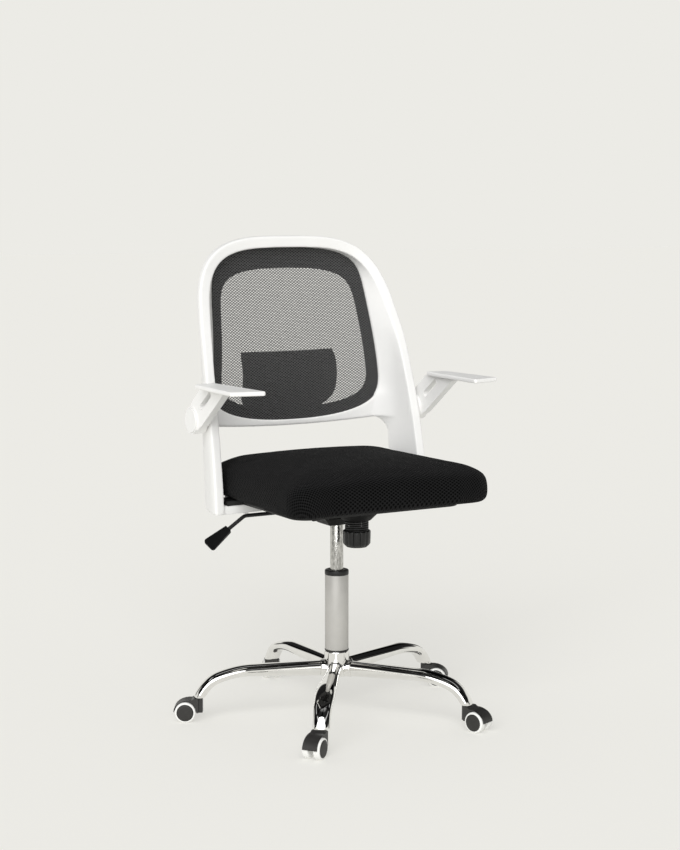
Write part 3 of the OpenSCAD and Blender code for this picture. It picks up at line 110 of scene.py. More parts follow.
def make_world():
    """Even white light, the photo's backdrop for the camera, and a dark striped studio for mirrored rays."""
    world = bpy.data.worlds.new("studio")
    world.use_nodes = True
    tree = world.node_tree
    tree.nodes.clear()
    new, link = tree.nodes.new, tree.links.new

    def background(colour, strength=1.0):
        made = new("ShaderNodeBackground")
        made.inputs["Color"].default_value = (*colour, 1)
        made.inputs["Strength"].default_value = strength
        return made

    def mix(share, first, second):
        made = new("ShaderNodeMixShader")
        for number, source in enumerate((share, first, second)):
            link(source, made.inputs[number])
        return made.outputs[0]

    lamp, seen = background(SKY_COLOUR, SKY_LEVEL), background(BACKGROUND)
    studio = new("ShaderNodeBackground")
    split = new("ShaderNodeSeparateXYZ")
    link(new("ShaderNodeTexCoord").outputs["Generated"], split.inputs[0])
    tones = ramp(tree, STUDIO_TONES)
    link(split.outputs["Z"], tones.inputs[0])
    around = new("ShaderNodeMath")
    around.operation = "ARCTAN2"
    link(split.outputs["X"], around.inputs[0])
    link(split.outputs["Y"], around.inputs[1])
    turn = new("ShaderNodeMapRange")
    turn.inputs["From Min"].default_value = -math.pi
    turn.inputs["From Max"].default_value = math.pi
    link(around.outputs[0], turn.inputs["Value"])
    flags = ramp(tree, flag_stops())
    link(turn.outputs["Result"], flags.inputs[0])
    shaded = new("ShaderNodeMix")
    shaded.data_type = "RGBA"
    shaded.blend_type = "MULTIPLY"
    shaded.inputs[0].default_value = 1
    link(tones.outputs[0], shaded.inputs[MIX_A])
    link(flags.outputs[0], shaded.inputs[MIX_B])
    link(shaded.outputs[MIX_RESULT], studio.inputs["Color"])
    path = new("ShaderNodeLightPath")
    direct = new("ShaderNodeMath")
    direct.operation = "MAXIMUM"
    link(path.outputs["Is Camera Ray"], direct.inputs[0])
    link(path.outputs["Is Transmission Ray"], direct.inputs[1])
    mirrored = mix(path.outputs["Is Glossy Ray"], lamp.outputs[0], studio.outputs[0])
    link(mix(direct.outputs[0], mirrored, seen.outputs[0]), new("ShaderNodeOutputWorld").inputs["Surface"])
    scene.world = world


def make_sun(name, toward, level, spread):
    """Soft sun; returns how much light it adds to the floor."""
    data = bpy.data.lights.new(name, "SUN")
    data.energy = level
    data.angle = math.radians(spread)
    sun = bpy.data.objects.new(name, data)
    scene.collection.objects.link(sun)
    sun.rotation_euler = Vector(toward).to_track_quat("Z", "Y").to_euler()
    return Vector(toward).normalized().z * level / math.pi


def make_floor(level):
    """Floor that shows the backdrop's colour where it is lit, and keeps the chair's shadow."""
    material = bpy.data.materials.new("floor")
    material.use_nodes = True
    tree = material.node_tree
    tree.nodes.clear()
    out = tree.nodes.new("ShaderNodeOutputMaterial")
    paint = tree.nodes.new("ShaderNodeBsdfDiffuse")
    paint.inputs["Color"].default_value = (*(c * (1 - FLOOR_GLOW) / level for c in BACKGROUND), 1)
    glow = tree.nodes.new("ShaderNodeEmission")
    glow.inputs["Color"].default_value = (*BACKGROUND, 1)
    glow.inputs["Strength"].default_value = FLOOR_GLOW
    both = tree.nodes.new("ShaderNodeAddShader")
    tree.links.new(paint.outputs[0], both.inputs[0])
    tree.links.new(glow.outputs[0], both.inputs[1])
    tree.links.new(both.outputs[0], out.inputs["Surface"])
    data = bpy.data.meshes.new("floor")
    corners = [(x * FLOOR_REACH, y * FLOOR_REACH, 0) for x, y in ((-1, -1), (1, -1), (1, 1), (-1, 1))]
    data.from_pydata(corners, [], [(0, 1, 2, 3)])
    data.materials.append(material)
    floor = bpy.data.objects.new("floor", data)
    scene.collection.objects.link(floor)


make_camera()
make_world()
floor_level = SKY_LEVEL + make_sun("key", SUN_TOWARD, SUN_LEVEL, SUN_SPREAD)
make_floor(floor_level)
scene.view_settings.view_transform = "Standard"

# ---- Materials ----


class Shader:
    """A principled material with short calls for the nodes that vary it."""

    def __init__(self, name, colour, rough, metal=0.0, specular=0.5, **sockets):
        self.material = bpy.data.materials.new(name)
        self.material.use_nodes = True
        self.tree = self.material.node_tree
        self.bsdf = self.tree.nodes["Principled BSDF"]
        self.colour = colour
        self.rough = rough
        self.set("Base Color", (*colour, 1))
        self.set("Roughness", rough)
        self.set("Metallic", metal)
        self.set("Specular IOR Level", specular)
        for socket, value in sockets.items():
            self.set(socket.replace("_", " "), value)
        self.coords = self.node("TexCoord").outputs["Object"]

    def set(self, socket, value):
        self.bsdf.inputs[socket].default_value = value

    def node(self, kind, **values):
        made = self.tree.nodes.new("ShaderNode" + kind)
        for key, value in values.items():
            setattr(made, key, value)
        return made

    def link(self, source, target):
        self.tree.links.new(source, target)

    def noise(self, size, detail=2.0, coords=None, stretch=(1, 1, 1)):
        """Noise with cells of a size in metres, longer along an axis whose stretch is below 1."""
        scaled = self.node("Mapping")
        scaled.inputs["Scale"].default_value = [s / size for s in stretch]
        self.link(coords or self.coords, scaled.inputs["Vector"])
        made = self.node("TexNoise")
        made.inputs["Scale"].default_value = 1
        made.inputs["Detail"].default_value = detail
        self.link(scaled.outputs[0], made.inputs["Vector"])
        return made.outputs["Fac"]

    def spread(self, value, low, high, first=0.3, last=0.7):
        """The part of a value from first to last, drawn out to run from low to high."""
        made = self.node("MapRange")
        for socket, number in zip(("From Min", "From Max", "To Min", "To Max"), (first, last, low, high)):
            made.inputs[socket].default_value = number
        self.link(value, made.inputs["Value"])
        return made.outputs["Result"]

    def tint(self, value, low, high):
        """Colour that runs from low to high as the value does."""
        made = self.node("Mix", data_type="RGBA")
        made.inputs[MIX_A].default_value = (*low, 1)
        made.inputs[MIX_B].default_value = (*high, 1)
        self.link(self.spread(value, 0, 1), made.inputs[0])
        return made.outputs[MIX_RESULT]

    def paint(self, value, amount):
        """Base colour up to an amount darker and lighter than the plain one."""
        low = [c * (1 - amount) for c in self.colour]
        high = [min(1, c * (1 + amount)) for c in self.colour]
        self.link(self.tint(value, low, high), self.bsdf.inputs["Base Color"])

    def polish(self, value, amount):
        """Roughness up to an amount below and above the plain one."""
        self.link(self.spread(value, self.rough - amount, self.rough + amount), self.bsdf.inputs["Roughness"])

    def bump(self, value, depth, strength=1.0, below=None):
        """Bump of a depth in metres on top of the one below it."""
        made = self.node("Bump")
        made.inputs["Strength"].default_value = strength
        made.inputs["Distance"].default_value = depth
        self.link(value, made.inputs["Height"])
        if below is not None:
            self.link(below, made.inputs["Normal"])
        self.link(made.outputs[0], self.bsdf.inputs["Normal"])
        return made.outputs[0]


def moulded(name, colour, rough, grain, depth, specular=0.5, tint=0.05):
    """Moulded plastic: a fine spark-eroded grain, faint flow marks and uneven gloss."""
    shader = Shader(name, colour, rough, specular=specular)
    shader.paint(shader.noise(0.06, 3), tint)
    shader.polish(shader.noise(0.018, 3), 0.07)
    wave = shader.bump(shader.noise(0.035), 0.00025, 0.5)
    shader.bump(shader.noise(grain, 3), depth, 1.0, wave)
    return shader.material


def plated(name, colour, rough, ripple, cell=0.03, haze=0.5, stretch=(1, 1, 1), cloud=0.02, tint=0.03, metal=1.0):
    """Plated steel: faint ripples of the tube below, haze and hairline scratches."""
    shader = Shader(name, colour, rough, metal=metal)
    clouds = shader.noise(cloud, 4, stretch=stretch)
    shader.paint(clouds, tint)
    shader.polish(clouds, rough * haze)
    wave = shader.bump(shader.noise(cell, stretch=stretch), ripple)
    shader.bump(shader.noise(0.0012, 2, stretch=(1, 1, 0.1)), 0.000002, 1.0, wave)
    return shader.material


def painted(name, colour, rough, specular=0.5):
    """Powder-painted steel with its orange peel, a little worn."""
    shader = Shader(name, colour, rough, specular=specular)
    shader.paint(shader.noise(0.03, 4), 0.15)
    shader.polish(shader.noise(0.01, 3), 0.08)
    shader.bump(shader.noise(0.0011, 2), 0.00006)
    return shader.material


# Name, colour, roughness, then size and depth of the grain, in metres
WHITE = moulded("white_plastic", (0.88, 0.878, 0.865), 0.42, 0.0009, 0.00003, tint=0.012)
CAP_WHITE = moulded("white_cap", (0.84, 0.838, 0.825), 0.36, 0.0007, 0.00002, tint=0.012)
PADDLE_BLACK = moulded("paddle_black", grey(0.0012), 0.42, 0.0008, 0.00004, specular=0.06, tint=0.2)
KNOB_BLACK = moulded("knob_black", grey(0.004), 0.4, 0.0008, 0.00004, specular=0.45, tint=0.2)
RING_BLACK = moulded("ring_black", grey(0.0035), 0.6, 0.0008, 0.00005, specular=0.1, tint=0.2)
BLACK = moulded("black_plastic", grey(0.010), 0.48, 0.0008, 0.00005, specular=0.4, tint=0.18)
HOOD_BLACK = moulded("black_hood", (0.024, 0.023, 0.022), 0.42, 0.0007, 0.00004, tint=0.15)
DISC_BLACK = moulded("black_disc", (0.032, 0.031, 0.029), 0.5, 0.0006, 0.00003, specular=0.3, tint=0.12)
TYRE_WHITE = moulded("white_tyre", (0.82, 0.82, 0.8), 0.4, 0.0015, 0.00003, tint=0.03)
# Name, colour, roughness and depth of the ripples
CHROME = plated("chrome", (0.84, 0.835, 0.815), 0.028, 0.00003)
SATIN_CHROME = plated("satin_chrome", (0.5, 0.49, 0.465), 0.5, 0.000004, haze=0.05, metal=0.25)
ROD_CHROME = plated(
    "rod_chrome", (0.5, 0.495, 0.475), 0.2, 0.0005, 0.0028, 0.4, (1, 1, 0.4), cloud=0.004, tint=0.4
)
STEEL = plated("steel", (0.6, 0.6, 0.62), 0.3, 0.00002)
BLACK_STEEL = painted("black_steel", grey(0.007), 0.4, 0.3)
HIDDEN_STEEL = painted("mechanism_steel", grey(0.004), 0.6, 0.15)
SPRING_STEEL = painted("spring_steel", grey(0.010), 0.5)

# Seat fabric: pitch of its cells in metres, how much they are flattened, and the cover's named coordinates
WEAVE, WEAVE_FLAT, CLOTH_MAP = 0.0074, 1.35, "cloth"
# Near black in the middle of each cell: painted shade in the fabric's holes
HOLE_SHADE = (0.0002, 0.0002, 0.0002, 1)


def knitted():
    """Spacer fabric of the cushion: staggered cells in the top layer, with painted shade near black in their
    holes.
    """
    shader = Shader(
        "seat_fabric", (0.008, 0.008, 0.0085), 0.9, specular=0.05, Sheen_Weight=0.03, Sheen_Roughness=0.4
    )
    cloth = shader.node("UVMap", uv_map=CLOTH_MAP).outputs[0]
    flattened = shader.node("Mapping")
    flattened.inputs["Scale"].default_value = (1, WEAVE_FLAT, 1)
    shader.link(cloth, flattened.inputs["Vector"])
    turned_map = shader.node("Mapping")
    turned_map.inputs["Rotation"].default_value[2] = math.pi / 4
    turned_map.inputs["Scale"].default_value = (1 / WEAVE, 1 / WEAVE, 1)
    shader.link(flattened.outputs[0], turned_map.inputs["Vector"])
    cells = shader.node("TexVoronoi", voronoi_dimensions="2D")
    cells.inputs["Scale"].default_value = 1
    cells.inputs["Randomness"].default_value = 0.06
    shader.link(turned_map.outputs[0], cells.inputs["Vector"])
    centre = cells.outputs["Distance"]
    yarn = shader.noise(0.0007, 3, cloth)
    blotch = shader.noise(0.09, 2, cloth)
    thread = shader.node("Mix", data_type="RGBA")
    thread.inputs[MIX_A].default_value = HOLE_SHADE
    shader.link(shader.tint(yarn, (0.008, 0.008, 0.0083), (0.019, 0.019, 0.0195)), thread.inputs[MIX_B])
    shader.link(shader.spread(centre, 0, 1, 0.28, 0.44), thread.inputs[0])
    worn = shader.node("Mix", data_type="RGBA", blend_type="MULTIPLY")
    worn.inputs[0].default_value = 1
    shader.link(thread.outputs[MIX_RESULT], worn.inputs[MIX_A])
    shader.link(shader.tint(blotch, grey(0.82), grey(1)), worn.inputs[MIX_B])
    shader.link(worn.outputs[MIX_RESULT], shader.bsdf.inputs["Base Color"])
    deep = shader.bump(shader.spread(centre, 0, 1, 0.1, 0.55), 0.0018, 1.0)
    shader.bump(yarn, 0.00022, 0.7, deep)
    return shader.material


def netting():
    """Polyester yarn of the back's net."""
    shader = Shader("net_fabric", (0.07, 0.07, 0.071), 0.5, specular=0.5, Sheen_Weight=0.1)
    shader.paint(shader.noise(0.004, 3), 0.25)
    shader.bump(shader.noise(0.0004, 2), 0.00008)
    return shader.material


FABRIC = knitted()
NET = netting()

# ---- Mesh helpers ----


def linked(name, data):
    made = bpy.data.objects.new(name, data)
    scene.collection.objects.link(made)
    return made


def mesh_object(name, points, faces, materials, chosen=None, smooth=True):
    data = bpy.data.meshes.new(name)
    data.from_pydata([tuple(float(c) for c in p) for p in points], [], [tuple(f) for f in faces])
    for material in materials:
        data.materials.append(material)
    data.polygons.foreach_set("use_smooth", [smooth] * len(data.polygons))
    if chosen is not None:
        data.polygons.foreach_set("material_index", chosen)
    data.update()
    return linked(name, data)


def set_material(data, material):
    data.materials.clear()
    data.materials.append(material)


def sharpen(piece, angle=40):
    """Keeps edges above an angle crisp and the rest smooth."""
    made = bmesh.new()
    made.from_mesh(piece.data)
    limit = math.radians(angle)
    for edge in made.edges:
        edge.smooth = len(edge.link_faces) == 2 and edge.calc_face_angle(0) < limit
    for face in made.faces:
        face.smooth = True
    made.to_mesh(piece.data)
    made.free()
    return piece


def face_outward(piece, weld=0.0):
    """Turns the faces of closed skins outward, once points nearer than weld are joined."""
    made = bmesh.new()
    made.from_mesh(piece.data)
    if weld:
        bmesh.ops.remove_doubles(made, verts=made.verts, dist=weld)
    bmesh.ops.recalc_face_normals(made, faces=made.faces)
    made.to_mesh(piece.data)
    made.free()


def loft(rings):
    """Points and faces of a closed skin over rings of the same number of points."""
    rings = np.asarray(rings, float)
    rows, sides = rings.shape[:2]
    faces = [
        (r * sides + s, r * sides + (s + 1) % sides, (r + 1) * sides + (s + 1) % sides, (r + 1) * sides + s)
        for r in range(rows - 1)
        for s in range(sides)
    ]
    faces.append(tuple(range(sides - 1, -1, -1)))
    faces.append(tuple((rows - 1) * sides + s for s in range(sides)))
    return rings.reshape(-1, 3), faces


def together(parts):
    """Points and faces of several skins as one."""
    points, faces = [], []
    for some, others in parts:
        faces += [tuple(i + len(points) for i in face) for face in others]
        points += list(np.asarray(some, float))
    return np.array(points), faces


def lathe(name, profile, origin, axis, materials, segments=72, bands=None):
    """Turned piece: profile is a list of (radius, distance along the axis) in millimetres."""
    turn = Vector(axis).to_track_quat("Z", "Y").to_matrix()
    points, rows, faces, chosen = [], [], [], []
    for radius, along in profile:
        if radius < 1e-6:
            rows.append([len(points)] * segments)
            points.append(turn @ Vector((0, 0, along)) + Vector(origin))
            continue
        rows.append([len(points) + s for s in range(segments)])
        for s in range(segments):
            a = 2 * math.pi * s / segments
            points.append(turn @ Vector((radius * math.cos(a), radius * math.sin(a), along)) + Vector(origin))
    for row in range(len(rows) - 1):
        for s in range(segments):
            t = (s + 1) % segments
            corners = [rows[row][s], rows[row][t], rows[row + 1][t], rows[row + 1][s]]
            faces.append(list(dict.fromkeys(corners)))
            chosen.append(bands[row] if bands else 0)
    return sharpen(mesh_object(name, np.array(points) * MM, faces, materials, chosen))


def sweep(path, radius, sides=16):
    """Rings of a round bar along a path, in millimetres."""
    path = np.asarray(path, float)
    along = np.gradient(path, axis=0)
    along /= np.linalg.norm(along, axis=1)[:, None]
    side = np.cross(along[0], (0.31, 0.2, 0.93))
    rings = []
    for point, forward in zip(path, along):
        side = side - forward * side.dot(forward)
        side /= np.linalg.norm(side)
        up = np.cross(forward, side)
        rings.append([
            point + radius * (math.cos(a) * side + math.sin(a) * up)
            for a in (2 * math.pi * s / sides for s in range(sides))
        ])
    return rings


def apply_modifiers(piece):
    graph = bpy.context.evaluated_depsgraph_get()
    baked = bpy.data.meshes.new_from_object(piece.evaluated_get(graph))
    piece.modifiers.clear()
    piece.data = baked


def remeshed(piece, voxel, rounds, material):
    """Puts one even skin round the piece and smooths it a number of times."""
    joined = piece.modifiers.new("joined", "REMESH")
    joined.mode = "VOXEL"
    joined.voxel_size = voxel
    joined.use_smooth_shade = True
    eased = piece.modifiers.new("eased", "SMOOTH")
    eased.factor = 0.5
    eased.iterations = rounds
    apply_modifiers(piece)
    set_material(piece.data, material)


def dressed(node, name, material, bevel=1.0, flat=1.5, corner=30):
    """Copy of a CAD node with its coplanar faces joined and its edges rounded, in place of the node."""
    made = bmesh.new()
    made.from_mesh(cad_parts[node].data)
    bmesh.ops.remove_doubles(made, verts=made.verts, dist=1e-6)
    bmesh.ops.dissolve_limit(
        made, angle_limit=math.radians(flat), verts=made.verts, edges=made.edges, use_dissolve_boundaries=False
    )
    data = bpy.data.meshes.new(name)
    made.to_mesh(data)
    made.free()
    set_material(data, material)
    piece = sharpen(linked(name, data), 50)
    edge = piece.modifiers.new("edge", "BEVEL")
    edge.width = bevel * MM
    edge.segments = 3
    edge.limit_method = "ANGLE"
    edge.angle_limit = math.radians(corner)
    edge.harden_normals = False
    piece.modifiers.new("flats", "WEIGHTED_NORMAL").keep_sharp = False
    return piece


def place(piece, body, slot, *nodes):
    """The piece moves with a body and stands for CAD nodes, which it hides; slot is not used."""
    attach(piece, body)
    if nodes:
        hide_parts(*nodes)


def recolour(material, *nodes):
    for node in nodes:
        set_material(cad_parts[node].data, material)


def bent(a, c, b, t):
    """Point on the curve from a to b that is drawn toward c."""
    return (1 - t) ** 2 * a + 2 * t * (1 - t) * c + t * t * b


# ---- Back frame: the source's sections along its side, closer together, and its sizes in millimetres ----

FOOT_Z, FOOT_T, FRAME_H, TOP_Z = 442, 18, 571, 1013
FRAME_HALF_W, BACK_TAPER, TAPER_END = 260, 16, 0.72
FRAME_FRONT_Y, BACK_SWEEP, SWEEP_POWER, SWEEP_BULGE, BULGE_START = 47, 161, 1.5, 0.07, 0.6
MESH_TOP_Z, MESH_BASE_Z, MESH_H = 988, 614, 374
MESH_BASE_W, MESH_NARROWS = 428, 64
MESH_LUMBAR_Y, MESH_LEAN, LEAN_START, LEAN_POWER, BASE_BOW, BOW_LOSS = 167, 50, 0.1, 3, 18, 8
ROUND_START_Z = MESH_BASE_Z + 0.318 * MESH_H
OUTER_POWER, TOP_UP, TOP_ACROSS, BASE_UP, BASE_ACROSS = 3.5, 10.9, 2.57, 3.9, 2.24
RAIL_Z, RAIL_BOW, FILLET_Z, FILLET_R = 601, 10, 611, 35
LEG_BACK_X, LEG_BACK_Y, LEG_LEAN, LEAN_SHARE, LEG_BACK_T, LEG_STEP = 225, 161, 12, 3, 10, 2
EDGE_W, EDGE_GAIN, EDGE_BEVEL, EDGE_BEVEL_W = 20, 5, 1, 3
SIDE_BACK, SIDE_W, SIDE_IN, BULGE_OUT, BULGE_BACK = 4, 14, 0.5, 4, 8
FRAME_DEPTH, FRAME_SLIM, REAR_ROUND, REAR_ROUND_TOP, CORNER_REACH = 16, 3, 14, 6, 0.55
RIBS, RIB_FRONT_Y, RIB_STEP, RIB_T, RIB_IN, RIB_OUT, RIB_LOW = 4, 68, 18, 2.4, 14, 2, 2
PIVOT_Y, PIVOT_Z = 113, 635
FOOT_OUTLINE = [(150, 51), (252, 51), (229, 140), (150, 140)]
BOSS_PROFILE = [(234, 26.5), (244, 26.5), (251, 25.3), (257, 24), (258, 23)]
RAIL_BELOW = [(12, 1), (9, 0), (4, 0), (1, 3)]
# Angles of the sections over the top's rounding, and the rail's reach as a share of the opening's width
TOP_ANGLES = np.concatenate([[1, 2], np.arange(3.5, 90.1, 1.5)])
RAIL_REACH = 0.985
FRAME_VOXEL, FRAME_VOXEL_QUICK = 1.7 * MM, 3.0 * MM


def held(value):
    return min(1.0, max(0.0, value))


def rounding(up, up_power, across_power):
    return max(0.0, 1 - up**up_power) ** (1 / across_power)


def rise(z):
    return held((z - FOOT_Z) / FRAME_H)


def outer_half_w(z):
    return FRAME_HALF_W - BACK_TAPER * min(1.0, rise(z) / TAPER_END) ** 2


def front_edge_y(z):
    bulge = SWEEP_BULGE * math.sin(math.pi * max(0.0, (rise(z) - BULGE_START) / (1 - BULGE_START)))
    return FRAME_FRONT_Y + BACK_SWEEP * rise(z) ** SWEEP_POWER * (1 + bulge)


def mesh_share(z):
    return (z - MESH_BASE_Z) / MESH_H


def mesh_half_w(z):
    return (MESH_BASE_W - MESH_NARROWS * mesh_share(z)) / 2


def mesh_y(x, z):
    """How far back a point of the mesh lies."""
    share = mesh_share(z)
    lean = math.sin(math.pi / 2 * held((share - LEAN_START) / (1 - LEAN_START))) ** LEAN_POWER
    bow = BASE_BOW - BOW_LOSS * share
    return MESH_LUMBAR_Y + MESH_LEAN * lean + bow * (1 - min(1.0, abs(x) / mesh_half_w(z)) ** 2)


def opening_round(share):
    return rounding(share, TOP_UP, TOP_ACROSS) if share > 0 else rounding(-share, BASE_UP, BASE_ACROSS)


def opening_half_w(z, grow=0.0):
    """Half width of the mesh opening at a height, widened by grow, or 0 outside it."""
    span = (MESH_TOP_Z if z > ROUND_START_Z else MESH_BASE_Z) - ROUND_START_Z
    span += math.copysign(grow, span)
    share = (z - ROUND_START_Z) / span
    if share > 1:
        return 0.0
    share = share if span > 0 else -share
    return (mesh_half_w(z) + grow) * opening_round(share)


def leg_inner_x(z):
    """Inner back corner of the leg, which flares out below the low rail."""
    if z > FILLET_Z:
        inner = LEG_BACK_X - FILLET_R
        low = inner + (mesh_half_w(ROUND_START_Z) - inner) * (z - FILLET_Z) / (ROUND_START_Z - FILLET_Z)
        return max(low, opening_half_w(z)) if z > MESH_BASE_Z else low
    drop = max(0.0, (z - FILLET_Z + FILLET_R) / FILLET_R)
    return LEG_BACK_X - FILLET_R * (1 - math.sqrt(max(0.0, 1 - drop * drop)))


def frame_section(station, u):
    """Section of the right-hand side at a height, or at a share u of the top's rounding."""
    low = u == 0
    zo = station if low else ROUND_START_Z + u * (TOP_Z - ROUND_START_Z)
    zi = station if low else ROUND_START_Z + u * (MESH_TOP_Z - ROUND_START_Z)
    half = rounding(u, OUTER_POWER, OUTER_POWER)
    xo = outer_half_w(zo) * half
    xi = leg_inner_x(zi) if low else mesh_half_w(zi) * opening_round(u)
    gx = half ** (OUTER_POWER - 1) / outer_half_w(zo)
    gz = u ** (OUTER_POWER - 1) / (TOP_Z - ROUND_START_Z)
    normal = np.array([gx, 0, gz]) / math.hypot(gx, gz)
    strip = EDGE_W + EDGE_GAIN * u
    leg = held((FILLET_Z - zo) / FILLET_R)
    slim = held((FILLET_Z + 2 * FILLET_R - zo) / (3 * FILLET_R))
    corner = max(0.0, 1 - max(0.0, zo - FILLET_Z) / (CORNER_REACH * MESH_H))
    leg_y = LEG_BACK_Y - LEG_LEAN * (1 - rise(zo) * LEAN_SHARE)
    yi = leg * leg_y + (1 - leg) * mesh_y(xi, zi)
    depth = FRAME_DEPTH * (1 - slim) + slim * FRAME_SLIM
    outer = np.array([xo, front_edge_y(zo), zo])
    front_in = outer + (0, EDGE_BEVEL, 0) - strip * normal
    lip = np.array([xi, yi, zi])
    middle = (front_in + lip) / 2
    wall = middle + corner * (np.array([LEG_BACK_X, leg_y - LEG_STEP, zi]) - middle)
    flank = (front_in + wall) / 2
    rear = lip + (0, depth, 0)
    leg_rear = np.array([LEG_BACK_X + LEG_BACK_T, leg_y + EDGE_BEVEL, zi])
    rear_out = (1 - corner) * (rear + (REAR_ROUND + u * REAR_ROUND_TOP) * normal) + corner * leg_rear
    side_back = outer + (0, SIDE_W, 0)
    outer_bend = (rear_out + outer) / 2 + BULGE_OUT * normal + (0, BULGE_BACK, 0)
    points = [rear, rear_out]
    points += [bent(rear_out, outer_bend, side_back, t) for t in np.linspace(0.1, 0.9, 9)]
    points += [side_back - SIDE_IN * normal, outer + (0, SIDE_BACK, 0)]
    points += [outer + (0, EDGE_BEVEL, 0) - EDGE_BEVEL * normal, outer - EDGE_BEVEL_W * normal]
    points += [front_in, (2 * front_in + flank) / 3, flank]
    points += [bent(flank, wall, lip, t) for t in np.linspace(0.08, 0.92, 12)]
    points.append(lip)
    return points


def rail_section(share):
    """Section of the low rail at a share of its half width."""
    x = share * mesh_half_w(MESH_BASE_Z)
    top = ROUND_START_Z - (ROUND_START_Z - MESH_BASE_Z) * rounding(abs(share), BASE_ACROSS, BASE_UP)
    base = RAIL_Z + RAIL_BOW * share * share
    y = mesh_y(x, top)
    return [(x, y, top), (x, y + FRAME_DEPTH, top)] + [(x, y + back, base + up) for back, up in RAIL_BELOW]


def block(low, high):
    corners = [(low[0], low[1]), (high[0], low[1]), (high[0], high[1]), (low[0], high[1])]
    return loft([[(x, y, z) for x, y in corners] for z in (low[2], high[2])])


def back_frame():
    """One seamless moulding: its parts are joined by a fine remesh, which also fillets where they meet."""
    leg_top = FILLET_Z - FILLET_R
    stations = [(z, 0) for z in np.linspace(FOOT_Z, leg_top, 14)[:-1]]
    stations += [(FILLET_Z - FILLET_R * (1 - math.sin(a)), 0) for a in np.linspace(0, math.pi / 2, 13)[:-1]]
    stations += [(z, 0) for z in np.linspace(FILLET_Z, ROUND_START_Z, 20)]
    stations += [(0, math.sin(a) ** (2 / OUTER_POWER)) for a in np.radians(TOP_ANGLES)]
    stations.append((0, 1.0))
    right = [frame_section(*station) for station in stations]
    left = [[(-p[0], p[1], p[2]) for p in ring] for ring in right[-2::-1]]
    parts = [loft(right + left), loft([rail_section(s) for s in np.linspace(-RAIL_REACH, RAIL_REACH, 60)])]
    circle = [(math.cos(a), math.sin(a)) for a in np.radians(np.arange(0, 360, 7.5))]
    for side in (-1, 1):
        foot = FOOT_OUTLINE[::side]
        parts.append(loft([[(side * x, y, z) for x, y in foot] for z in (FOOT_Z, FOOT_Z + FOOT_T)]))
        for i in range(RIBS):
            x = sorted((side * (LEG_BACK_X - RIB_IN), side * (LEG_BACK_X + RIB_OUT)))
            y = RIB_FRONT_Y + RIB_STEP * i
            parts.append(block((x[0], y, FOOT_Z), (x[1], y + RIB_T, FOOT_Z + FOOT_T - RIB_LOW)))
        parts.append(loft([
            [(side * x, PIVOT_Y + r * c, PIVOT_Z + r * s) for c, s in circle[::side]] for x, r in BOSS_PROFILE
        ]))
    points, faces = together(parts)
    piece = mesh_object("frame_moulding", points * MM, faces, [WHITE])
    face_outward(piece)
    remeshed(piece, FRAME_VOXEL, 9, WHITE)
    place(piece, "seat", "white_plastic", "back_frame")


# ---- Net of the back, with real holes ----

NET_PITCH_X, NET_PITCH_Z, NET_HOLE = 8.2, 5.8, 0.6
NET_FRONT, NET_T = 3.3, 0.7
NET_MARGIN, NET_START = 3.5, 4
# Points nearer than this, in metres, and keys in twentieths of a millimetre, count as one
NET_WELD, NET_KEY = 0.00004, 20


def net_centres():
    """Middles of the cells, row by row, each second row shifted by half a cell."""
    centres = []
    for row in range(int(MESH_H / (NET_PITCH_Z / 2)) + 6):
        z = MESH_BASE_Z - NET_START + row * NET_PITCH_Z / 2
        half = opening_half_w(z, NET_MARGIN)
        shift = NET_PITCH_X / 2 if row % 2 else 0
        count = int((half + NET_PITCH_X) / NET_PITCH_X) + 1
        across = [i * NET_PITCH_X + shift for i in range(-count, count + 1)]
        centres += [(x, z) for x in across if abs(x) < half]
    return centres


def back_net():
    """Staggered six-sided cells over the opening, each with its hole."""
    wide, tall = NET_PITCH_X / 3, NET_PITCH_Z / 4
    cell = [(2 * wide, 0), (wide, tall), (-wide, tall), (-2 * wide, 0), (-wide, -tall), (wide, -tall)]
    points, faces, known = [], [], {}

    def corner(x, z, back):
        key = (round(x * NET_KEY), round(z * NET_KEY), back)
        if key not in known:
            known[key] = len(points)
            points.append((x, mesh_y(x, z) + NET_FRONT + back * NET_T, z))
        return known[key]

    for x, z in net_centres():
        outer = [(x + dx, z + dz) for dx, dz in cell]
        inner = [(x + dx * NET_HOLE, z + dz * NET_HOLE) for dx, dz in cell]
        for k in range(6):
            m = (k + 1) % 6
            ring = [outer[k], outer[m], inner[m], inner[k]]
            faces.append([corner(px, pz, 0) for px, pz in ring])
            faces.append([corner(px, pz, 1) for px, pz in ring[::-1]])
            faces.append([corner(*inner[k], 0), corner(*inner[m], 0), corner(*inner[m], 1), corner(*inner[k], 1)])
    piece = mesh_object("back_net", np.array(points) * MM, faces, [NET], smooth=False)
    face_outward(piece, NET_WELD)
    place(piece, "seat", "black_fabric", "mesh_panel")
    heights = np.linspace(MESH_BASE_Z, MESH_TOP_Z, 200)
    area = 2 * sum(opening_half_w(z, NET_MARGIN) for z in heights) * MESH_H / len(heights) * MM * MM


# ---- Cushion, in metres ----

# Flat middle of its top: half width, front and back; and the height from which the sides are rolled out
CUSHION_CORE, CUSHION_TOP = (0.150, -0.170, 0.110), 0.5615
# How far inside its start lies, the foam's share of the result, the furthest a point moves, the held base
SHRINK, FOAM, CAP, HELD_BAND = 0.0035, 0.6, 0.006, 0.012
CUSHION_VOXEL, CLOTH_FRAMES = 0.006, 20


def get_points(data, what):
    found = np.empty(len(data.vertices) * 3)
    data.vertices.foreach_get(what, found)
    return found.reshape(-1, 3)


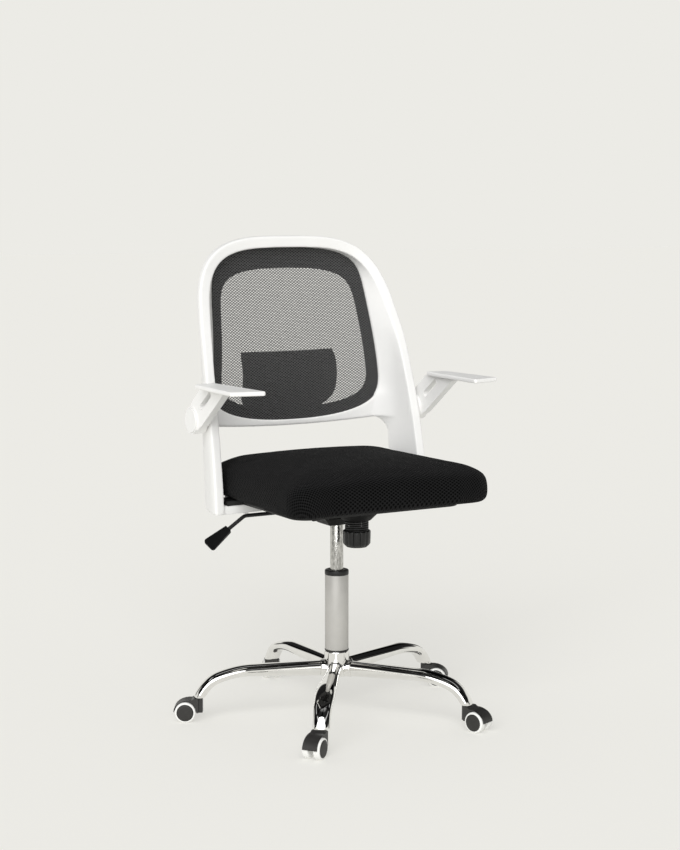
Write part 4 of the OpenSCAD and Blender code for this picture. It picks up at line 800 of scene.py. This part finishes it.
def cushion_coords(data):
    """Unrolls the cover from the flat top down the sides, for the weave."""
    layer = data.uv_layers.new(name=CLOTH_MAP)
    co = get_points(data, "co")
    half, front, back = CUSHION_CORE
    core = np.stack([np.clip(co[:, 0], -half, half), np.clip(co[:, 1], front, back)], 1)
    out = co[:, :2] - core
    reach = np.linalg.norm(out, axis=1)
    length = reach + np.maximum(0, CUSHION_TOP - co[:, 2])
    flat = core + out / np.maximum(reach, 1e-6)[:, None] * length[:, None]
    loops = np.empty(len(data.loops), int)
    data.loops.foreach_get("vertex_index", loops)
    layer.data.foreach_set("uv", flat[loops].astype(np.float32).ravel())


def cushion():
    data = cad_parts["seat_cushion"].data.copy()
    data.name = "cushion"
    set_material(data, FABRIC)
    piece = linked("cushion", data)
    fix = bmesh.new()
    fix.from_mesh(data)
    bmesh.ops.remove_doubles(fix, verts=fix.verts, dist=1e-6)
    fix.normal_update()
    for vertex in fix.verts:
        vertex.co -= vertex.normal * SHRINK
    fix.to_mesh(data)
    fix.free()
    remeshed(piece, CUSHION_VOXEL, 6, FABRIC)
    fill_cushion(piece)
    cushion_coords(piece.data)
    finer = piece.modifiers.new("finer", "SUBSURF")
    finer.levels = finer.render_levels = 1
    place(piece, "seat", "black_fabric", "seat_cushion")


def fill_cushion(piece):
    """Blows the cover up against its foam, holding the base down and each point near its start."""
    data = piece.data
    start = get_points(data, "co")
    swelled = start + SHRINK * get_points(data, "normal")
    base = piece.vertex_groups.new(name="held")
    base.add([int(i) for i in np.where(start[:, 2] < start[:, 2].min() + HELD_BAND)[0]], 1.0, "REPLACE")
    cloth = piece.modifiers.new("cloth", "CLOTH")
    settings = cloth.settings
    settings.quality = 5
    settings.mass = 0.3
    settings.tension_stiffness = 15
    settings.compression_stiffness = 15
    settings.bending_stiffness = 0.6
    settings.use_pressure = True
    settings.uniform_pressure_force = 4
    settings.vertex_group_mass = "held"
    settings.effector_weights.gravity = 0
    cloth.collision_settings.use_collision = False
    cloth.point_cache.frame_start, cloth.point_cache.frame_end = 1, CLOTH_FRAMES
    for number in range(1, CLOTH_FRAMES + 1):
        scene.frame_set(number)
    graph = bpy.context.evaluated_depsgraph_get()
    step = get_points(piece.evaluated_get(graph).data, "co") - start
    piece.modifiers.clear()
    scene.frame_set(1)
    length = np.linalg.norm(step, axis=1)
    step *= (np.minimum(length, CAP) / np.maximum(length, 1e-9))[:, None]
    data.vertices.foreach_set("co", (FOAM * swelled + (1 - FOAM) * (start + step)).ravel())
    data.update()


# ---- Star base, in millimetres as all that follows ----

UP, CENTRE = (0, 0, 1), (0, 0, 0)
LEG_ANGLES = [-126 + 72 * i for i in range(5)]
LEG_ROOT_R, LEG_TIP_R, LEG_AXIS_Z, LEG_TIP_Z, LEG_CLIMB = 37.5, 295, 100, 53, 3.5
# The leg's line bends down by one wide arc and one tight one; radii, and the angles where they end
WIDE_R, TIGHT_R, WIDE_END, TIGHT_END, REACH_END = 200, 66, math.radians(20), math.radians(56), math.radians(72)
TIP_DRAW = 0.9
# Its section: width at the root, what the shoulder gains and the tip loses, height and what it loses
ROOT_W, SHOULDER_GAIN, TIP_LOSS, ROOT_H, HEIGHT_LOSS = 29, 13, 7, 32, 10
SHOULDER, SQUARENESS, LEG_SIDES, TIP_SHRINK = 0.75, 2.4, 44, 1.2
HUB_PROFILE = [
    (23.6, 84), (25.3, 84), (26.1, 84.4), (26.5, 85.4), (26.5, 134.6), (26.3, 135.9), (25.8, 136.9),
    (25, 137.7), (24.2, 138), (23.6, 138), (23.6, 84),
]
# Black ring on the hub's top edge: painted dark reflection where hub and column meet
HUB_SHADE_RING_PROFILE = [(24, 137.2), (25.2, 137.9), (25.7, 138.6), (25.7, 140.2), (25.2, 141), (24, 141), (24, 137.2)]
COLLAR_R = 16.5
COLLAR_PROFILE = [
    (0, 0), (18, 0), (18, 8), (17.8, 17.4), (17.2, 19.2), (15.6, 20.6), (13, 21.2), (0, 21.2),
]


def leg_line():
    """Centre line of a leg as (out, height, slope)."""
    straight = LEG_TIP_R - WIDE_R * math.sin(WIDE_END) - TIGHT_R * (math.sin(REACH_END) - math.sin(WIDE_END))
    crest = LEG_AXIS_Z + LEG_CLIMB
    line = [
        (LEG_ROOT_R + t * (straight - LEG_ROOT_R), LEG_AXIS_Z + LEG_CLIMB * t, 0)
        for t in np.linspace(0, 1, 17)[:-1]
    ]
    line += [
        (straight + WIDE_R * math.sin(a), crest - WIDE_R * (1 - math.cos(a)), a)
        for a in np.linspace(0, WIDE_END, 14)[:-1]
    ]
    x0, z0 = straight + WIDE_R * math.sin(WIDE_END), crest - WIDE_R * (1 - math.cos(WIDE_END))
    line += [
        (x0 + TIGHT_R * (math.sin(a) - math.sin(WIDE_END)), z0 - TIGHT_R * (math.cos(WIDE_END) - math.cos(a)), a)
        for a in np.linspace(WIDE_END, TIGHT_END, 16)
    ]
    x1, z1, _ = line[-1]
    start, end = np.array([x1, z1]), np.array([LEG_TIP_R, LEG_TIP_Z])
    drawn = np.array([LEG_TIP_R, z1 - (LEG_TIP_R - x1) * math.tan(TIGHT_END) * TIP_DRAW])
    for t in np.linspace(0, 1, 9)[1:]:
        p = bent(start, drawn, end, t)
        line.append((p[0], p[1], TIGHT_END + (math.pi / 2 - TIGHT_END) * t))
    return line


def leg_ring(out, height, slope, shrink=0.0):
    """Rounded section of a leg across its line."""
    t = (out - LEG_ROOT_R) / (LEG_TIP_R - LEG_ROOT_R)
    along = min(1, t / SHOULDER)
    tip = held((t - SHOULDER) / (1 - SHOULDER))
    wide = ROOT_W + SHOULDER_GAIN * math.sin(math.pi / 2 * along) ** 2 - TIP_LOSS * tip * tip * (3 - 2 * tip)
    tall = ROOT_H - HEIGHT_LOSS * along
    ring = []
    for s in range(LEG_SIDES):
        a = 2 * math.pi * s / LEG_SIDES
        c, d = math.cos(a), math.sin(a)
        across = math.copysign(abs(c) ** (2 / SQUARENESS), c) * (wide / 2 - shrink)
        up = math.copysign(abs(d) ** (2 / SQUARENESS), d) * (tall / 2 - shrink)
        ring.append((out + up * math.sin(slope), -across, height + up * math.cos(slope)))
    return ring


def turned(points, degrees):
    a = math.radians(degrees)
    c, s = math.cos(a), math.sin(a)
    return [(x * c - y * s, x * s + y * c, z) for x, y, z in points]


def star_base():
    line = leg_line()
    rings = [leg_ring(*p) for p in line] + [leg_ring(*line[-1], TIP_SHRINK)]
    points, faces = together(loft([turned(ring, degrees) for ring in rings]) for degrees in LEG_ANGLES)
    legs = sharpen(mesh_object("leg_tubes", points * MM, faces, [CHROME]), 50)
    place(legs, "base", "chrome", "base_legs")
    place(lathe("hub", HUB_PROFILE, CENTRE, UP, [CHROME]), "base", "chrome", "base_hub")
    # Black ring that paints the dark reflection along the hub's top edge
    place(lathe("hub_shade_ring", HUB_SHADE_RING_PROFILE, CENTRE, UP, [BLACK]), "base", "black_plastic")
    for number, degrees in enumerate(LEG_ANGLES, 1):
        a = math.radians(degrees)
        out = Vector((math.cos(a), math.sin(a), 0))
        origin = (COLLAR_R * math.cos(a), COLLAR_R * math.sin(a), LEG_AXIS_Z)
        place(lathe(f"collar_{number}", COLLAR_PROFILE, origin, out, [CHROME], 48), "base", "chrome")


# ---- Gas lift ----

LIFT_SEGMENTS = 96
COLUMN_PROFILE = [
    (23, 88), (23, 138), (24.4, 138), (25, 138.8), (25, 301.4), (24.6, 302), (23, 302), (21, 302),
    (21, 92), (23, 88),
]
BUSH_PROFILE = [
    (20.9, 252), (20.9, 302), (25.1, 302), (25.5, 302.6), (25.5, 309.6), (24.9, 311.2), (23.4, 312),
    (15.2, 312), (14.3, 311.4), (14.1, 310), (14.1, 252), (20.9, 252),
]
CYLINDER_PROFILE = [(5.1, 207), (12.6, 207), (13.6, 207.5), (14, 208.6), (14, 434.8), (13.4, 436), (5, 436)]


def gas_lift():
    for name, profile, material, body, slot, node in (
        ("column", COLUMN_PROFILE, SATIN_CHROME, "base", "chrome", "column_tube"),
        ("column_collar", BUSH_PROFILE, BLACK, "base", "black_plastic", "column_bush"),
        ("cylinder_tube", CYLINDER_PROFILE, ROD_CHROME, "chassis", "chrome", "gas_cylinder"),
    ):
        place(lathe(name, profile, CENTRE, UP, [material], LIFT_SEGMENTS), body, slot, node)


# ---- Knob, spring and lever of the tilt mechanism ----

TENSION_Y, KNOB_Z = -83, 375
# Radius, height, and the share of the grips' depth there
KNOB_PROFILE = [
    (0, 0, 0), (14, 0, 0), (20, 0, 0), (21.5, 0.3, 0), (22.3, 1.1, 0), (25, 3.5, 0.2), (26.4, 6, 0.7), (27, 8, 1),
    (27.2, 16, 1), (27.4, 27, 1), (27.5, 31.5, 1), (27.4, 33.4, 0.8), (27, 34.5, 0.5), (26.5, 35, 0.3),
    (25.9, 34.8, 0), (25.7, 34, 0), (25.7, 7, 0), (5.2, 7, 0), (5.2, 2.6, 0), (0, 2.6, 0),
]
KNOB_SEGMENTS, GRIPS, GRIP_IN, GRIP_OUT, GRIP_POWER, LEAST_R = 288, 12, 0.9, 2.4, 0.5, 0.001
COIL_TURNS, COIL_WIRE, COIL_R, COIL_LOW, COIL_HIGH, COIL_STEPS = 10, 4.1, 22.95, 382.3, 431.7, 48
LEVER_Y, LEVER_Z, LEVER_X, LEVER_DROP, LEVER_LIMB = 36, 439, -200, math.radians(33.5), 62
LEVER_R, LEVER_BEND, LEVER_START_X = 4, 6, -16
# The two flats inside the housing that carry the lever's push to the button
TONGUE, TONGUE_ARM = ((-30, -7, 442.8), (20, 7, 445.8)), ((-30, 7, 442.8), (-16, 43, 445.8))


def knob():
    """Cup with rounded grips, a drawn-in foot and an open top round the spring."""
    rings = []
    for radius, height, share in KNOB_PROFILE:
        ring = []
        for s in range(KNOB_SEGMENTS):
            a = 2 * math.pi * s / KNOB_SEGMENTS
            out = radius - GRIP_IN * share + share * GRIP_OUT * abs(math.cos(GRIPS / 2 * a)) ** GRIP_POWER
            out = max(out, LEAST_R)
            ring.append((out * math.cos(a), TENSION_Y + out * math.sin(a), KNOB_Z + height))
        rings.append(ring)
    points, faces = loft(rings)
    piece = sharpen(mesh_object("knob", points * MM, faces, [KNOB_BLACK]), 42)
    place(piece, "knob", "black_plastic", "tension_knob")


def spring():
    low, high = COIL_LOW + COIL_WIRE / 2, COIL_HIGH - COIL_WIRE / 2
    path = []
    for k in range(COIL_TURNS * COIL_STEPS + 1):
        t = k / COIL_STEPS
        a = 2 * math.pi * t
        height = low + (high - low) * t / COIL_TURNS
        path.append((COIL_R * math.cos(a), TENSION_Y + COIL_R * math.sin(a), height))
    points, faces = loft(sweep(path, COIL_WIRE / 2, 12))
    piece = mesh_object("coil", points * MM, faces, [SPRING_STEEL])
    place(piece, "seat", "black_steel", "tension_spring")
    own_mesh(piece)


def lever():
    down = np.array([-math.cos(LEVER_DROP), 0, -math.sin(LEVER_DROP)])
    elbow = np.array([LEVER_X, LEVER_Y, LEVER_Z], float)
    start, end = elbow + (LEVER_BEND, 0, 0), elbow + LEVER_BEND * down
    path = [(x, LEVER_Y, LEVER_Z) for x in np.linspace(LEVER_START_X, LEVER_X + LEVER_BEND, 12)]
    path += [bent(start, elbow, end, t) for t in np.linspace(0, 1, 13)[1:]]
    path += [elbow + down * d for d in np.linspace(LEVER_BEND, LEVER_LIMB, 8)[1:]]
    points, faces = together([loft(sweep(path, LEVER_R, 24)), block(*TONGUE), block(*TONGUE_ARM)])
    bar = sharpen(mesh_object("lever_bar", points * MM, faces, [BLACK_STEEL]), 50)
    place(bar, "lever", "black_steel", "lever_rod")
    place(dressed("lever_paddle", "paddle", PADDLE_BLACK, 1.6), "lever", "black_plastic", "lever_paddle")


# ---- Armrests ----


def armrests():
    for side in ("left", "right"):
        for node, name, material, bevel in (
            (f"arm_{side}", f"arm_brace_{side}", WHITE, 1.8),
            (f"arm_pad_{side}", f"arm_top_{side}", WHITE, 1.2),
            (f"pivot_cap_{side}", f"cap_{side}", CAP_WHITE, 1.0),
        ):
            place(dressed(node, name, material, bevel), f"armrest_{side}", "white_plastic", node)


# ---- Casters ----

HEADINGS = [-145, -70, -38, 65, 150]
WHEEL_R, WHEEL_IN, TRAIL, DISC_R, DISC_DEPTH = 22, 5.0, 29.5, 17.6, 10
# Tread and side wall, then the groove round the dark disc, and the disc's crown
WHEEL_PROFILE = [
    (0, 0), (3.6, 0), (18, 0), (19.8, 0.3), (21.2, 1.2), (21.9, 2.8), (22, 5), (22, 9.5), (21.9, 11.7),
    (21.2, 13.3), (19.9, 14.2), (18.4, 14.5), (DISC_R + 0.3, 14.5), (DISC_R, 14.1), (DISC_R - 0.3, 13.9),
    (DISC_R - 0.7, 14.3), (DISC_R - 1.2, 14.6), (12, 14.9), (6, 15.1), (0, 15.2),
]


def wheels():
    bands = [
        1 if 0.5 * (a[0] + b[0]) < DISC_R + 0.2 and a[1] > DISC_DEPTH else 0
        for a, b in zip(WHEEL_PROFILE, WHEEL_PROFILE[1:])
    ]
    for number, (leg, heading) in enumerate(zip(LEG_ANGLES, HEADINGS), 1):
        caster = f"caster_{number}"
        a, h = math.radians(leg), math.radians(heading)
        x = LEG_TIP_R * math.cos(a) + TRAIL * math.cos(h)
        y = LEG_TIP_R * math.sin(a) + TRAIL * math.sin(h)
        across = Vector((-math.sin(h), math.cos(h), 0))
        for side, sign in (("left", -1), ("right", 1)):
            origin = Vector((x, y, WHEEL_R)) + across * sign * WHEEL_IN
            wheel = lathe(
                f"wheel_{number}_{side}", WHEEL_PROFILE, origin, across * sign, [TYRE_WHITE, DISC_BLACK], 72, bands
            )
            place(wheel, f"{caster}_{side}", "white_wheel", f"{caster}_wheel_{side}")
        hood = dressed(f"{caster}_hood", f"hood_{number}", HOOD_BLACK, 0.7)
        place(hood, caster, "black_plastic", f"{caster}_hood")
        recolour(STEEL, f"{caster}_stem", f"{caster}_axle")


back_frame()
back_net()
cushion()
star_base()
gas_lift()
knob()
spring()
lever()
armrests()
wheels()

# CAD nodes that keep their shape: name of the piece, material, edge rounding, flatness, body and slot
for node, name, material, bevel, flat, body, slot in (
    ("mesh_ring", "mesh_ring_band", RING_BLACK, 1.2, 0.5, "seat", "black_plastic"),
    ("lumbar_pad", "lumbar_shell", RING_BLACK, 2.0, 0.5, "seat", "black_plastic"),
    ("tilt_housing", "mechanism", HIDDEN_STEEL, 1.2, 1.5, "chassis", "black_steel"),
    ("seat_plate", "mount_plate", HIDDEN_STEEL, 0.8, 1.5, "seat", "black_steel"),
    ("seat_pan", "under_shell", BLACK, 2.0, 1.5, "seat", "black_plastic"),
):
    place(dressed(node, name, material, bevel, flat), body, slot, node)
recolour(CHROME, "piston_rod", "thrust_bearing", "retaining_clip")
recolour(STEEL, "release_button", "tilt_pins", "plate_bolts", "frame_bolts", "pivot_pin_left", "pivot_pin_right")
recolour(BLACK_STEEL, "tension_bolt")
recolour(BLACK, "lever_bush")
